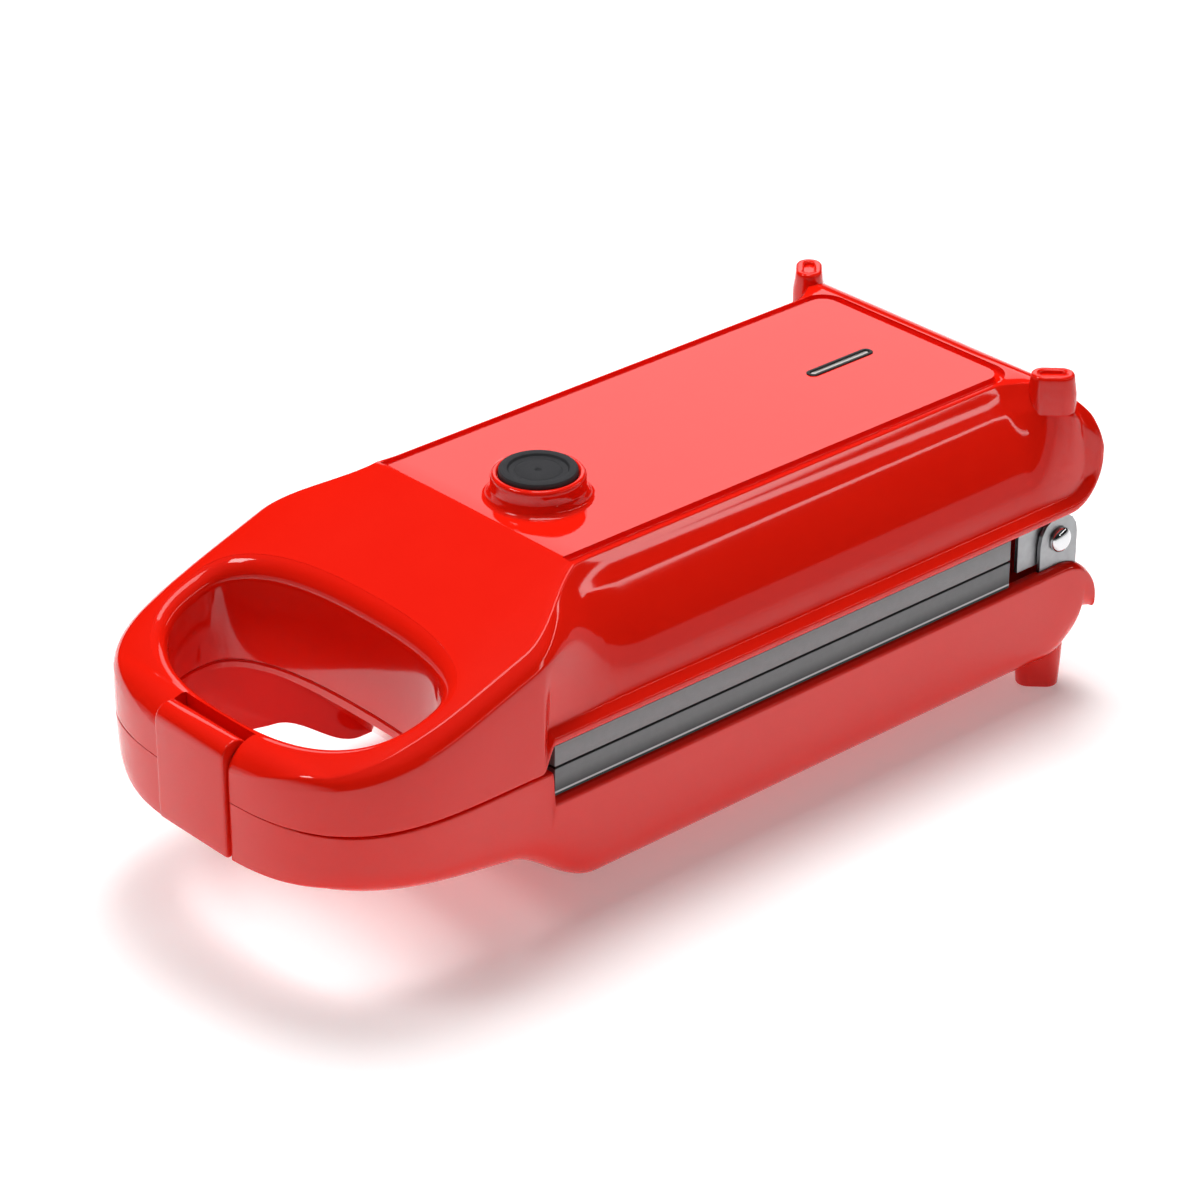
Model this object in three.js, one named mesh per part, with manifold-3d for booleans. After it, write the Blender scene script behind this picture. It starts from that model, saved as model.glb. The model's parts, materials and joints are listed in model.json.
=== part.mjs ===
// A sandwich maker: two long shells hinged at the back, with hot plates between them.
// The shells end in a hand loop with a clip in front.
// Millimetres. +X is to the right seen from the hand loop, +Y runs from the loop to the hinge, +Z is up.
// The origin is on the table under the middle of the closed maker.
import * as THREE from "three";
import { mergeVertices } from "three/addons/utils/BufferGeometryUtils.js";
import Module from "manifold-3d";

const wasm = await Module();
wasm.setup();

// Outline of the whole maker
const HALF_WIDTH = 75;
const LOOP_INSET = 0.3;
const LOOP_HALF_WIDTH = HALF_WIDTH - LOOP_INSET;
const LOOP_CENTRE_Y = -105.2;
const LOOP_DEPTH = 71.4;
const LOOP_POWER = 3.3;
const REAR_Y = 178;
const SPLIT_Z = 65;
const GAP = 0.3;
const WALL = 2.6;
const CUT = 1;
const MERGE_DISTANCE = 1e-4;

// Window in the sides, where the edges of the hot plates show
const WINDOW_FRONT_Y = -85;
const WINDOW_REAR_Y = 133;
const WINDOW_CURVE = 5;

// Lid: top panel, slope down to the hand loop, side walls and the hem that ends them
const PANEL_Z = 122.5;
const PANEL_FRONT_Y = -55.4;
const PANEL_REAR_INSET = 20.2;
const PANEL_REAR_Y = REAR_Y - PANEL_REAR_INSET;
const PANEL_SIDE = 29.4;
const PANEL_HALF_WIDTH = HALF_WIDTH - PANEL_SIDE;
const GROOVE_WIDTH = 3.2;
const GROOVE_DEPTH = 1.8;
const LIP_DROP = 1;
const SHOULDER_WIDTH = 4;
const SHOULDER_DROP = 5;
const WALL_TOP_DROP = 9.5;
const HEM_OVERHANG = 3.5;
const WALL_FOOT_HALF_WIDTH = HALF_WIDTH - HEM_OVERHANG;
const HEM_RISE = 9.3;
const HEM_Z = SPLIT_Z + HEM_RISE;
const HEM_HEIGHT = 2.7;
const HEM_FLARE_HEIGHT = 3.5;
const HEM_REAR_RISE = 18;
const HEM_REAR_CURVE = 15;
const SLOPE_FALL = 24.5;
const SLOPE_END_Y = -126;
const BLEND_START_Y = -50;
const BLEND_END_Y = -92;
const BAR_CURVE_Y = -164;
const BAR_FRONT_Z = 86;
const BAR_CURVE_DROP = 12;
const LOOP_EDGE_RADIUS = 9.7;
const CORNER_INSET = 5.5;
const CORNER_HALF_WIDTH = HALF_WIDTH - CORNER_INSET;
const CORNER_LENGTH = 23;
const REAR_FRAME = 6;
const CORNER_REAR_Y = REAR_Y - REAR_FRAME - SHOULDER_WIDTH;
const CORNER_FRONT_Y = CORNER_REAR_Y - CORNER_LENGTH;
const LID_REAR_DROP = 24;

// Hand opening through both halves of the loop, and the scoop that widens it below the base's deck
const LOOP_ARM = 16.5;
const HAND_HALF_WIDTH = HALF_WIDTH - LOOP_ARM;
const HAND_CENTRE_Y = -126;
const HAND_FRONT_DEPTH = 34.5;
const HAND_REAR_DEPTH = 20;
const HAND_POWER = 2.5;
const HAND_EDGE_RADIUS = 5;
const DECK = 2.8;
const SCOOP_FOOT_Y = -55;

// Base: tub, rim, overhang at the rear and underside of the hand loop
const RIM_Z = 52.3;
const RIM_BEAD = 1.6;
const RIM_BEAD_WIDTH = 3;
const LOOP_BEAD = RIM_BEAD / 8;
const FLOOR_Z = 11;
const TUB_INSET = 1.4;
const TUB_HALF_WIDTH = HALF_WIDTH - TUB_INSET;
const TUB_CURVE = 12;
const TUB_CURVE_HEIGHT = 18;
const LEDGE = 4.5;
const FLOOR_FRONT_Y = -60;
const BAR_UNDER_REAR_Y = -100;
const BAR_UNDER_REAR_Z = 31;
const BAR_UNDER_FRONT_Y = -165;
const BAR_UNDER_FRONT_Z = 43;
const RIM_UNDER_Z = 31;
const OVERHANG = 6;
const RIM_REAR_CURVE = 18;
const TUB_REAR_CURVE = 14;
const REAR_WALL = 13;

// Places of the shells' sections, as shares of the stretch in which the surface bends
const LOOP_END_SHARE = 0.998;
const LOOP_PLACE_SHARES = [LOOP_END_SHARE, 0.99, 0.97, 0.94, 0.89, 0.82, 0.73, 0.62, 0.48, 0.3, 0.14];
const REAR_PLACE_SHARES = [0, 0.35, 0.55, 0.72, 0.85, 0.94, 0.985];
const BLEND_PLACE_SHARES = [0, 0.33, 0.5, 0.67];
const CORNER_PLACE_SHARES = [0, 0.3, 0.5];

// Hot plates
const PLATE_INSET = 2;
const PLATE_HALF_WIDTH = HALF_WIDTH - PLATE_INSET;
const PLATE_BACK_SIDE = 8;
const PLATE_BACK_HALF_WIDTH = PLATE_HALF_WIDTH - PLATE_BACK_SIDE;
const PLATE_BACK_INSET = 5;
const UPPER_SKIRT = 8.1;
const LOWER_SKIRT = 10.4;
const PLATE_BACK = 5.8;
const POCKET_DEPTH = 9;
const POCKET_TAPER = 5;
const POCKET_RIM = 7;
const RIDGE_WIDTH = 6;
const DIVIDER_WIDTH = 10;

// Heating elements, shields and the electrical pieces
const SHIELD_SIDE = 17;
const SHIELD_HALF_WIDTH = PLATE_BACK_HALF_WIDTH - SHIELD_SIDE;
const SHIELD_SHEET = 0.8;
const SHIELD_HEIGHT = 8.6;
const SHIELD_FRONT_Y = -72;
const SHIELD_REAR_Y = 120;
const HEATER_RADIUS = 3.2;
const HEATER_SIDE = 14;
const HEATER_BEND = SHIELD_HALF_WIDTH - HEATER_SIDE;
const HEATER_BEND_Y = -30;
const HEATER_END_Y = 112;
const THERMOSTAT_RADIUS = 8;
const THERMOSTAT_HEIGHT = 6.4;
const FUSE_RADIUS = 2.4;
const FUSE_LENGTH = 22;
const FUSE_SIDE = 14;
const FUSE_X = HEATER_BEND - FUSE_SIDE;
const FUSE_Y = 52;
const TERMINAL_WIDTH = 32;
const TERMINAL_DEPTH = 14;
const TERMINAL_HEIGHT = 12;
const TERMINAL_GAP = 15;
const TERMINAL_Y = REAR_Y - REAR_WALL - TERMINAL_GAP - TERMINAL_DEPTH / 2;
const GLAND_RADIUS = 4.8;
const GLAND_BORE_RADIUS = 3.2;
const GLAND_FLANGE_RADIUS = 7.4;
const GLAND_FLANGE = 2.4;
const GLAND_Z = 38.5;

// Screws
const SCREW_RADIUS = 1.6;
const SCREW_HEAD_RADIUS = 3.4;
const SCREW_HEAD_CROWN_SHARE = 0.7;
const SCREW_HEAD = 2.4;
const BOSS_RADIUS = 5.5;
const BOSS_GAP = 0.5;
const BASE_SCREW_X = SHIELD_HALF_WIDTH + BOSS_GAP + BOSS_RADIUS;
const BASE_SCREW_FRONT_Y = -44;
const BASE_SCREW_REAR_Y = 112;
const BASE_BOSS_Z = 27;
const BASE_BOSS_FLOOR = 3;
const SHIELD_SCREW_FRONT_Y = -45;
const SHIELD_SCREW_REAR_Y = 96;

// Hinge: axis, bolts and the two steel brackets on each side
const HINGE_INSET = 17.5;
const HINGE_Y = REAR_Y - HINGE_INSET;
const HINGE_DROP = 1;
const HINGE_Z = SPLIT_Z - HINGE_DROP;
const BOLT_RADIUS = 2.5;
const BOLT_HEAD_RADIUS = 4.8;
const BOLT_HEAD = 3;
const BOLT_EDGE_SHARE = 0.35;
const BOLT_CROWN_SHARES = [0.75, 0.8];
const BRACKET_SHEET = 1.5;
const BRACKET_INSET = 3.6;
const BRACKET_X = HALF_WIDTH - BRACKET_INSET;
const BRACKET_HALF_LENGTH = 9.6;
const BRACKET_FOOT_WIDTH = 15;
const BRACKET_FOOT_Z = 41;
const LID_BRACKET_LENGTH = 19.5;
const LID_BRACKET_FRONT_Y = HINGE_Y - LID_BRACKET_LENGTH;
const LID_BRACKET_EYE = 8;
const LID_BRACKET_Z = 78;
const RUNNING_GAP = 0.5;
const NUT_RADIUS = 4.6;
const NUT_LENGTH = 3.6;
const WASHER_RADIUS = 5;
const WASHER_SHEET = 0.8;
const BRACKET_SCREW_INSET = 5;
const BRACKET_SCREW_LENGTH = 9;

// Clip on the front of the hand loop
const CLIP_WIDTH = 36;
const CLIP_PROUD = 1.4;
const CLIP_FRONT_Y = LOOP_CENTRE_Y - LOOP_DEPTH - CLIP_PROUD;
const CLIP_SHEET = 3;
const CLIP_ROLL_RADIUS = 5.7;
const CLIP_PIN_Z = 80.4;
const CLIP_FOOT_Z = 43.5;
const CLIP_PIN_RADIUS = 1.2;
const CLIP_PIN_REACH = 4;
const CLIP_SIDE_GAP = 0.7;
const CLIP_BEAD = 0.8;
const CLIP_RECESS = 6.1;
const NOTCH_DEPTH = 12.3;
const NOTCH_REAR_Y = LOOP_CENTRE_Y - LOOP_DEPTH + NOTCH_DEPTH;
const NOTCH_FLOOR_Z = 73.5;

// Foot on the lid, posts, indicator and rubber feet
const FOOT_X = 6;
const FOOT_Y = -31.6;
const COLLAR_WALL = 2.8;
const FOOT_RADIUS = 13.6;
const COLLAR_RADIUS = FOOT_RADIUS + COLLAR_WALL;
const COLLAR_FLARE = 1.6;
const COLLAR_RISE = 9;
const COLLAR_TOP_Z = PANEL_Z + COLLAR_RISE;
const COLLAR_STEP = 3.5;
const COLLAR_STEP_Z = PANEL_Z + COLLAR_STEP;
const FOOT_PROUD = 1.5;
const FOOT_TOP_Z = COLLAR_TOP_Z + FOOT_PROUD;
const FOOT_HEIGHT = 4.4;
const COLLAR_FLOOR_Z = FOOT_TOP_Z - FOOT_HEIGHT;
const FOOT_RING = 3.3;
const FOOT_DISH = 1;
const FOOT_BOSS_RADIUS = 7;
const FOOT_BOSS_DROP = 10.5;
const FOOT_BOSS_Z = PANEL_Z - FOOT_BOSS_DROP;
const POST_SIDE = 13;
const POST_X = HALF_WIDTH - POST_SIDE;
const POST_REAR = 15;
const POST_Y = REAR_Y - POST_REAR;
const POST_LENGTH = 15.8;
const POST_WIDTH = 9.8;
const POST_RISE = 3.7;
const POST_TOP_Z = PANEL_Z + POST_RISE;
const POST_ROOT = 14.5;
const POST_FOOT_Z = PANEL_Z - POST_ROOT;
const POST_TAPER = 1.1;
const POST_RECESS = 3.4;
const POST_TURN = Math.PI / 4;
const LAMP_Y = 117.8;
const LAMP_LENGTH = 29.7;
const LAMP_WIDTH = 3.2;
const LAMP_DROP = 0.7;
const LAMP_RADIUS = 2.6;
const RUBBER_FOOT_X = 34;
const RUBBER_FOOT_Y = -40;
const RUBBER_FOOT_RADIUS = 9;
const RUBBER_FOOT_SEAT = 3;

const COLOURS = {
  red: { color: 0xd8241c, roughness: 0.22, metalness: 0 },
  aluminium: { color: 0x8a8a8c, roughness: 0.45, metalness: 0.9 },
  steel: { color: 0x9c9ea2, roughness: 0.35, metalness: 1 },
  chrome: { color: 0xd8dadd, roughness: 0.12, metalness: 1 },
  rubber: { color: 0x2c2c30, roughness: 0.8, metalness: 0 },
  black: { color: 0x18181a, roughness: 0.5, metalness: 0 },
  ceramic: { color: 0xe6e0d2, roughness: 0.7, metalness: 0 },
  lens: { color: 0xe8dcd8, roughness: 0.1, metalness: 0 },
};

const SIDES = { right: 1, left: -1 };
const maker = new THREE.Group();
const mix = THREE.MathUtils.lerp;

// Turns a closed geometry into a solid that can be joined and cut.
function solid(geometry) {
  const bare = geometry.clone();
  bare.deleteAttribute("normal");
  bare.deleteAttribute("uv");
  const merged = mergeVertices(bare, MERGE_DISTANCE);
  const vertProperties = new Float32Array(merged.attributes.position.array);
  const triVerts = new Uint32Array(merged.index.array);
  return new wasm.Manifold(new wasm.Mesh({ numProp: 3, vertProperties, triVerts }));
}

// Adds one finished solid to the maker under its own name.
function piece(name, look, body) {
  const mesh = body.getMesh();
  const geometry = new THREE.BufferGeometry();
  geometry.setAttribute("position", new THREE.BufferAttribute(mesh.vertProperties, mesh.numProp));
  geometry.setIndex(new THREE.BufferAttribute(mesh.triVerts, 1));
  const made = new THREE.Mesh(geometry, new THREE.MeshStandardMaterial(COLOURS[look]));
  made.name = name;
  maker.add(made);
}

// A block between two values on each axis.
function block([x0, x1], [y0, y1], [z0, z1]) {
  const geometry = new THREE.BoxGeometry(x1 - x0, y1 - y0, z1 - z0);
  return solid(geometry.translate((x0 + x1) / 2, (y0 + y1) / 2, (z0 + z1) / 2));
}

// A turned piece from radius and height pairs that start and end on the axis, standing along Z.
function turned(profile, sides = 24) {
  const points = profile.map(([radius, height]) => new THREE.Vector2(radius, height));
  return new THREE.LatheGeometry(points, sides).rotateX(Math.PI / 2);
}

// A round bar along Z.
function upright(x, y, [z0, z1], radius, sides = 14) {
  return solid(turned([[0, z0], [radius, z0], [radius, z1], [0, z1]], sides).translate(x, y, 0));
}

// A round bar along X.
function across([x0, x1], y, z, radius, sides = 16) {
  const bar = turned([[0, x0], [radius, x0], [radius, x1], [0, x1]], sides);
  return solid(bar.rotateY(Math.PI / 2).translate(0, y, z));
}

// A round bar along Y.
function lengthwise([y0, y1], x, z, radius, sides = 16) {
  const bar = turned([[0, -y1], [radius, -y1], [radius, -y0], [0, -y0]], sides);
  return solid(bar.rotateX(Math.PI / 2).translate(x, 0, z));
}

// The same solid on the other side of the maker when side is -1.
function onSide(side, body) {
  return side < 0 ? body.mirror([1, 0, 0]) : body;
}

// Joins rings with equal counts of points into one closed skin with filled ends.
function loft(rings) {
  const count = rings[0].length;
  const positions = rings.flat().flatMap((p) => [p.x, p.y, p.z]);
  const index = [];
  for (let r = 0; r + 1 < rings.length; r += 1) {
    for (let i = 0; i < count; i += 1) {
      const a = r * count + i;
      const b = r * count + ((i + 1) % count);
      index.push(a, b, b + count, a, b + count, a + count);
    }
  }
  const last = (rings.length - 1) * count;
  for (const [a, b, c] of endFaces(count)) index.push(a, c, b, last + a, last + b, last + c);
  const geometry = new THREE.BufferGeometry();
  geometry.setAttribute("position", new THREE.Float32BufferAttribute(positions, 3));
  geometry.setIndex(signedVolume(positions, index) < 0 ? index.reverse() : index);
  return solid(geometry);
}

// Triangles that fill a ring of points, taken from its two ends in turn so that every point is used.
function endFaces(count) {
  const faces = [];
  let low = 0;
  let high = count - 1;
  while (high - low > 1) {
    faces.push([low, low + 1, high]);
    low += 1;
    if (high - low > 1) faces.push([low, high - 1, high]);
    high -= 1;
  }
  return faces;
}

// Volume enclosed by a skin, negative when its faces point inwards.
function signedVolume(positions, index) {
  const corner = (i) => new THREE.Vector3().fromArray(positions, 3 * index[i]);
  let total = 0;
  for (let i = 0; i < index.length; i += 3) total += corner(i).dot(corner(i + 1).cross(corner(i + 2)));
  return total;
}

// 0 before the first place, 1 past the second, eased between them in either direction.
function ease(value, from, to) {
  const t = THREE.MathUtils.clamp((value - from) / (to - from), 0, 1);
  return t * t * (3 - 2 * t);
}

// Height of a quarter ellipse that starts level and ends steep: 1 at its start, 0 at its end.
function curl(value, from, to) {
  const t = THREE.MathUtils.clamp((value - from) / (to - from), 0, 1);
  return Math.sqrt(1 - t * t);
}

// Share of the half width that is left at y, where the loop's outline closes towards its front.
function loopShare(y) {
  const along = THREE.MathUtils.clamp((LOOP_CENTRE_Y - y) / LOOP_DEPTH, 0, 1);
  return (1 - along ** LOOP_POWER) ** (1 / LOOP_POWER);
}

// A ring across the maker at y from its right half's x and z pairs, mirrored to the left.
function crossRing(y, half) {
  const right = half.map(([x, z]) => new THREE.Vector3(x, y, z));
  const left = half.map(([x, z]) => new THREE.Vector3(-x, y, z)).reverse();
  return [...right, ...left];
}

// Blends two half rings point by point.
function mixHalf(from, to, share) {
  return from.map(([x, z], i) => [mix(x, to[i][0], share), mix(z, to[i][1], share)]);
}

// Height of the lid's top surface at y.
function lidTop(y) {
  if (y > PANEL_REAR_Y) return PANEL_Z - LID_REAR_DROP * (1 - curl(y, PANEL_REAR_Y, REAR_Y));
  if (y > PANEL_FRONT_Y) return PANEL_Z;
  const slopeEndZ = PANEL_Z - SLOPE_FALL;
  if (y > SLOPE_END_Y) return mix(PANEL_Z, slopeEndZ, (PANEL_FRONT_Y - y) / (PANEL_FRONT_Y - SLOPE_END_Y));
  if (y > BAR_CURVE_Y) return mix(slopeEndZ, BAR_FRONT_Z, (SLOPE_END_Y - y) / (SLOPE_END_Y - BAR_CURVE_Y));
  return BAR_FRONT_Z - BAR_CURVE_DROP * (1 - curl(y, BAR_CURVE_Y, LOOP_CENTRE_Y - LOOP_DEPTH));
}

// Height of the lid's lower edge at y: on the split in the loop, at the hem beside the plates, up at the rear.
function lidFoot(y) {
  const hem = mix(SPLIT_Z + GAP / 2, HEM_Z, ease(y, WINDOW_FRONT_Y - WINDOW_CURVE, WINDOW_FRONT_Y));
  return hem + HEM_REAR_RISE * (1 - curl(y, REAR_Y - HEM_REAR_CURVE, REAR_Y));
}

// Right half of the lid's section at y, from the lower edge up to the middle of the top.
function lidHalf(y) {
  const top = lidTop(y);
  const foot = lidFoot(y);
  const fit = Math.min(1, (top - foot) / (3 * WALL_TOP_DROP));
  const hem = foot + HEM_HEIGHT * fit;
  const flare = hem + HEM_FLARE_HEIGHT * fit;
  const drops = [WALL_TOP_DROP, SHOULDER_DROP, LIP_DROP, 0].map((drop) => top - drop * fit);
  const upperWall = (widths) => widths.map((x, i) => [x, drops[i]]);
  const lip = PANEL_HALF_WIDTH + GROOVE_WIDTH;
  const step = SHOULDER_WIDTH;
  const body = [
    [HALF_WIDTH, foot],
    [HALF_WIDTH, hem],
    [WALL_FOOT_HALF_WIDTH, flare],
    ...upperWall([lip + 2 * step, lip + step, lip, PANEL_HALF_WIDTH]),
  ];
  const corner = [
    ...body.slice(0, 3),
    ...upperWall([0, step, 2 * step, 3 * step].map((inset) => CORNER_HALF_WIDTH - inset)),
  ];
  const frame = [
    ...body.slice(0, 2),
    [HALF_WIDTH, flare],
    ...upperWall([0, LIP_DROP, step, 2 * step].map((inset) => HALF_WIDTH - inset)),
  ];
  const share = loopShare(y);
  const radius = LOOP_EDGE_RADIUS * fit;
  const edge = [0, 1, 2, 3, 4].map((part) => {
    const turn = (part * Math.PI) / 8;
    return [(LOOP_HALF_WIDTH - radius * (1 - Math.cos(turn))) * share, top - radius * (1 - Math.sin(turn))];
  });
  const loop = [[LOOP_HALF_WIDTH * share, foot], [LOOP_HALF_WIDTH * share, hem], ...edge];
  const rear = mixHalf(body, corner, ease(y, CORNER_FRONT_Y, CORNER_REAR_Y));
  const framed = mixHalf(rear, frame, ease(y, REAR_Y - REAR_FRAME, REAR_Y - LIP_DROP));
  const upper = mixHalf(framed, loop, ease(y, BLEND_START_Y, BLEND_END_Y));
  const lower = mixHalf(framed, loop, 1 - ease(y, WINDOW_FRONT_Y - WINDOW_CURVE, WINDOW_FRONT_Y));
  return [...lower.slice(0, 2), ...upper.slice(2)];
}

// Places along Y where the lid and the base have a section, closer together where the surface bends.
function stations(from, to) {
  const loopFront = LOOP_CENTRE_Y - LOOP_DEPTH;
  const loop = LOOP_PLACE_SHARES.map((share) => mix(LOOP_CENTRE_Y, loopFront, share));
  const rear = REAR_PLACE_SHARES.map((share) => mix(REAR_Y - RIM_REAR_CURVE, REAR_Y, share));
  const window = [-WINDOW_CURVE, -WINDOW_CURVE / 2, 0].map((step) => WINDOW_FRONT_Y + step);
  const slope = BLEND_PLACE_SHARES.map((share) => mix(BLEND_START_Y, BLEND_END_Y, share));
  const corner = CORNER_PLACE_SHARES.map((share) => mix(CORNER_FRONT_Y, CORNER_REAR_Y, share));
  const places = [...loop, BAR_UNDER_REAR_Y, ...window, ...slope, PANEL_FRONT_Y, ...corner, ...rear];
  const inside = places.filter((y) => y > from + GAP && y < to - GAP);
  return [from, ...inside, to].sort((a, b) => a - b);
}

// Outline of the hand opening, grown by a margin, with its height given at each place along Y.
function handRing(margin, heightAt) {
  const count = 36;
  return Array.from({ length: count }, (_, i) => {
    const turn = (2 * Math.PI * i) / count;
    const along = Math.sin(turn);
    const depth = (along < 0 ? HAND_FRONT_DEPTH : HAND_REAR_DEPTH) + margin;
    const power = 2 / HAND_POWER;
    const x = (HAND_HALF_WIDTH + margin) * Math.sign(Math.cos(turn)) * Math.abs(Math.cos(turn)) ** power;
    const y = HAND_CENTRE_Y + depth * Math.sign(along) * Math.abs(along) ** power;
    return new THREE.Vector3(x, y, heightAt(y));
  });
}

// The hand opening, with a rounded upper edge.
function handCut() {
  const rings = [handRing(0, () => 0)];
  for (const part of [0, 1, 2, 3]) {
    const turn = (part * Math.PI) / 8;
    const margin = HAND_EDGE_RADIUS * (1 - Math.cos(turn));
    rings.push(handRing(margin, (y) => lidTop(y) - HAND_EDGE_RADIUS * (1 - Math.sin(turn))));
  }
  rings.push(handRing(HAND_EDGE_RADIUS, () => PANEL_Z));
  return loft(rings);
}

// The scoop below the base's deck: it carries the hand opening back under the tub's slanting front.
function handScoop(margin) {
  const deckZ = SPLIT_Z - DECK;
  const rearY = HAND_CENTRE_Y + HAND_REAR_DEPTH;
  const slant = (deckZ - FLOOR_Z) / (SCOOP_FOOT_Y - rearY);
  const footY = rearY + (deckZ + CUT) / slant;
  const outline = [
    [HAND_CENTRE_Y, -CUT],
    [footY + margin, -CUT],
    [rearY + margin, deckZ],
    [HAND_CENTRE_Y, deckZ],
  ];
  const half = HAND_HALF_WIDTH + margin;
  return loft([-half, half].map((x) => outline.map(([y, z]) => new THREE.Vector3(x, y, z))));
}

// A block with half round ends along Y, used for slots and lenses.
function stadium(x, y, length, width, [z0, z1]) {
  const reach = (length - width) / 2;
  const middle = block([x - width / 2, x + width / 2], [y - reach, y + reach], [z0, z1]);
  const ends = [-reach, reach].map((step) => upright(x, y + step, [z0, z1], width / 2, 16));
  return middle.add(ends[0]).add(ends[1]);
}

// One oblong post, its length turned towards the middle of the maker, slimmer at its free end.
function oblongPost(wideZ, freeZ) {
  const sides = 16;
  const ring = (height, taper) =>
    Array.from({ length: sides }, (_, i) => {
      const turn = (2 * Math.PI * i) / sides;
      const reach = (POST_LENGTH - POST_WIDTH) / 2;
      const radius = POST_WIDTH / 2 + taper;
      const along = radius * Math.cos(turn) + reach * Math.sign(Math.cos(turn));
      const aside = radius * Math.sin(turn);
      const x = along * Math.cos(POST_TURN) - aside * Math.sin(POST_TURN);
      const y = along * Math.sin(POST_TURN) + aside * Math.cos(POST_TURN);
      return new THREE.Vector3(POST_X + x, POST_Y + y, height);
    });
  return loft([ring(wideZ, POST_TAPER), ring(freeZ, 0)]);
}

// Shell of the lid, with its half of the loop, the collar, the posts and the pillars for the brackets.
function lidShell() {
  const frontY = LOOP_CENTRE_Y - LOOP_DEPTH * LOOP_END_SHARE;
  let body = loft(stations(frontY, REAR_Y).map((y) => crossRing(y, lidHalf(y))));
  body = body.subtract(lidHollow());
  body = body.subtract(handCut());
  for (const side of Object.values(SIDES)) {
    body = body.add(onSide(side, oblongPost(POST_FOOT_Z, POST_TOP_Z)));
    body = body.subtract(onSide(side, postRecess()));
    body = body.add(onSide(side, lidPillar()));
  }
  body = body.subtract(panelGroove());
  body = body.subtract(stadium(0, LAMP_Y, LAMP_LENGTH, LAMP_WIDTH, [PANEL_Z - 3 * WALL, PANEL_Z + CUT]));
  body = body.add(footCollar());
  body = body.subtract(footBore());
  return body.subtract(clipNotch()).subtract(clipPinHole());
}

// Hollow of the lid: its own section drawn in by the wall, open below.
function lidHollow() {
  const roof = GROOVE_DEPTH + WALL;
  const ring = (y) => {
    const outer = lidHalf(Math.min(y, REAR_Y - REAR_FRAME));
    const half = outer.map(([x, z], i) => [x - WALL, i > 2 ? z - roof : z]);
    half[0][1] = SPLIT_Z;
    return crossRing(y, half);
  };
  return loft(stations(WINDOW_FRONT_Y + CUT, REAR_Y - 2 * WALL).map(ring));
}

// Groove round the top panel, open at the slope.
function panelGroove() {
  const outer = PANEL_HALF_WIDTH + GROOVE_WIDTH;
  const depth = [PANEL_Z - GROOVE_DEPTH, PANEL_Z + CUT];
  const rearY = PANEL_REAR_Y - GROOVE_WIDTH;
  const frame = block([-outer, outer], [PANEL_FRONT_Y, PANEL_REAR_Y], depth);
  const panel = block([-PANEL_HALF_WIDTH, PANEL_HALF_WIDTH], [PANEL_FRONT_Y - CUT, rearY], depth);
  return frame.subtract(panel);
}

// Small square recess in the free end of a post.
function postRecess() {
  const half = POST_RECESS / 2;
  const depth = [POST_TOP_Z - half, POST_TOP_Z + CUT];
  return block([POST_X - half, POST_X + half], [POST_Y - half, POST_Y + half], depth);
}

// Pillar inside the lid that a lid bracket is screwed to.
function lidPillar() {
  const inner = BRACKET_X - BRACKET_SHEET - RUNNING_GAP - BRACKET_FOOT_WIDTH;
  const foot = LID_BRACKET_Z + GAP;
  const body = block([inner, WALL_FOOT_HALF_WIDTH], lidBracketSpan(), [foot, PANEL_Z - 2 * WALL]);
  const inside = loft(stations(LID_BRACKET_FRONT_Y, REAR_Y - CUT).map((y) => crossRing(y, lidHalf(y))));
  const holes = bracketHoles(lidBracketSpan(), [foot - CUT, foot + BRACKET_SCREW_LENGTH]);
  return body.intersect(inside).subtract(holes);
}

// Raised collar that holds the rubber foot, with a step half way up and a boss below the panel.
function footCollar() {
  const wide = COLLAR_RADIUS + COLLAR_FLARE;
  const profile = [
    [0, PANEL_Z - GROOVE_DEPTH],
    [wide, PANEL_Z - GROOVE_DEPTH],
    [wide, PANEL_Z + CUT],
    [COLLAR_RADIUS, COLLAR_STEP_Z],
    [COLLAR_RADIUS, COLLAR_TOP_Z - CUT],
    [COLLAR_RADIUS - CUT, COLLAR_TOP_Z],
    [0, COLLAR_TOP_Z],
  ];
  const collar = solid(turned(profile, 32).translate(FOOT_X, FOOT_Y, 0));
  return collar.add(upright(FOOT_X, FOOT_Y, [FOOT_BOSS_Z, PANEL_Z - GROOVE_DEPTH], FOOT_BOSS_RADIUS));
}

// Seat for the rubber foot, seat for the screw head below it and the screw's hole.
function footBore() {
  const seat = upright(FOOT_X, FOOT_Y, [COLLAR_FLOOR_Z, FOOT_TOP_Z + CUT], FOOT_RADIUS + GAP, 32);
  const headZ = COLLAR_FLOOR_Z - SCREW_HEAD - 2 * GAP;
  const head = upright(FOOT_X, FOOT_Y, [headZ, COLLAR_FLOOR_Z + CUT], SCREW_HEAD_RADIUS + GAP);
  const hole = upright(FOOT_X, FOOT_Y, [FOOT_BOSS_Z - CUT, headZ + CUT], SCREW_RADIUS + GAP);
  return seat.add(head).add(hole);
}

// Notch in the front of the lid's half of the loop that the clip sits in.
function clipNotch() {
  const half = CLIP_WIDTH / 2 + CLIP_SIDE_GAP;
  const upper = block([-half, half], [CLIP_FRONT_Y - CUT, NOTCH_REAR_Y], [NOTCH_FLOOR_Z, PANEL_Z]);
  const plateRearY = CLIP_FRONT_Y + CLIP_SHEET + CLIP_SIDE_GAP;
  const lower = block([-half, half], [CLIP_FRONT_Y - CUT, plateRearY], [SPLIT_Z - CUT, NOTCH_FLOOR_Z + CUT]);
  return upper.add(lower);
}

// Place of the clip's pin along Y.
function clipPinY() {
  return CLIP_FRONT_Y + CLIP_ROLL_RADIUS;
}

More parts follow.
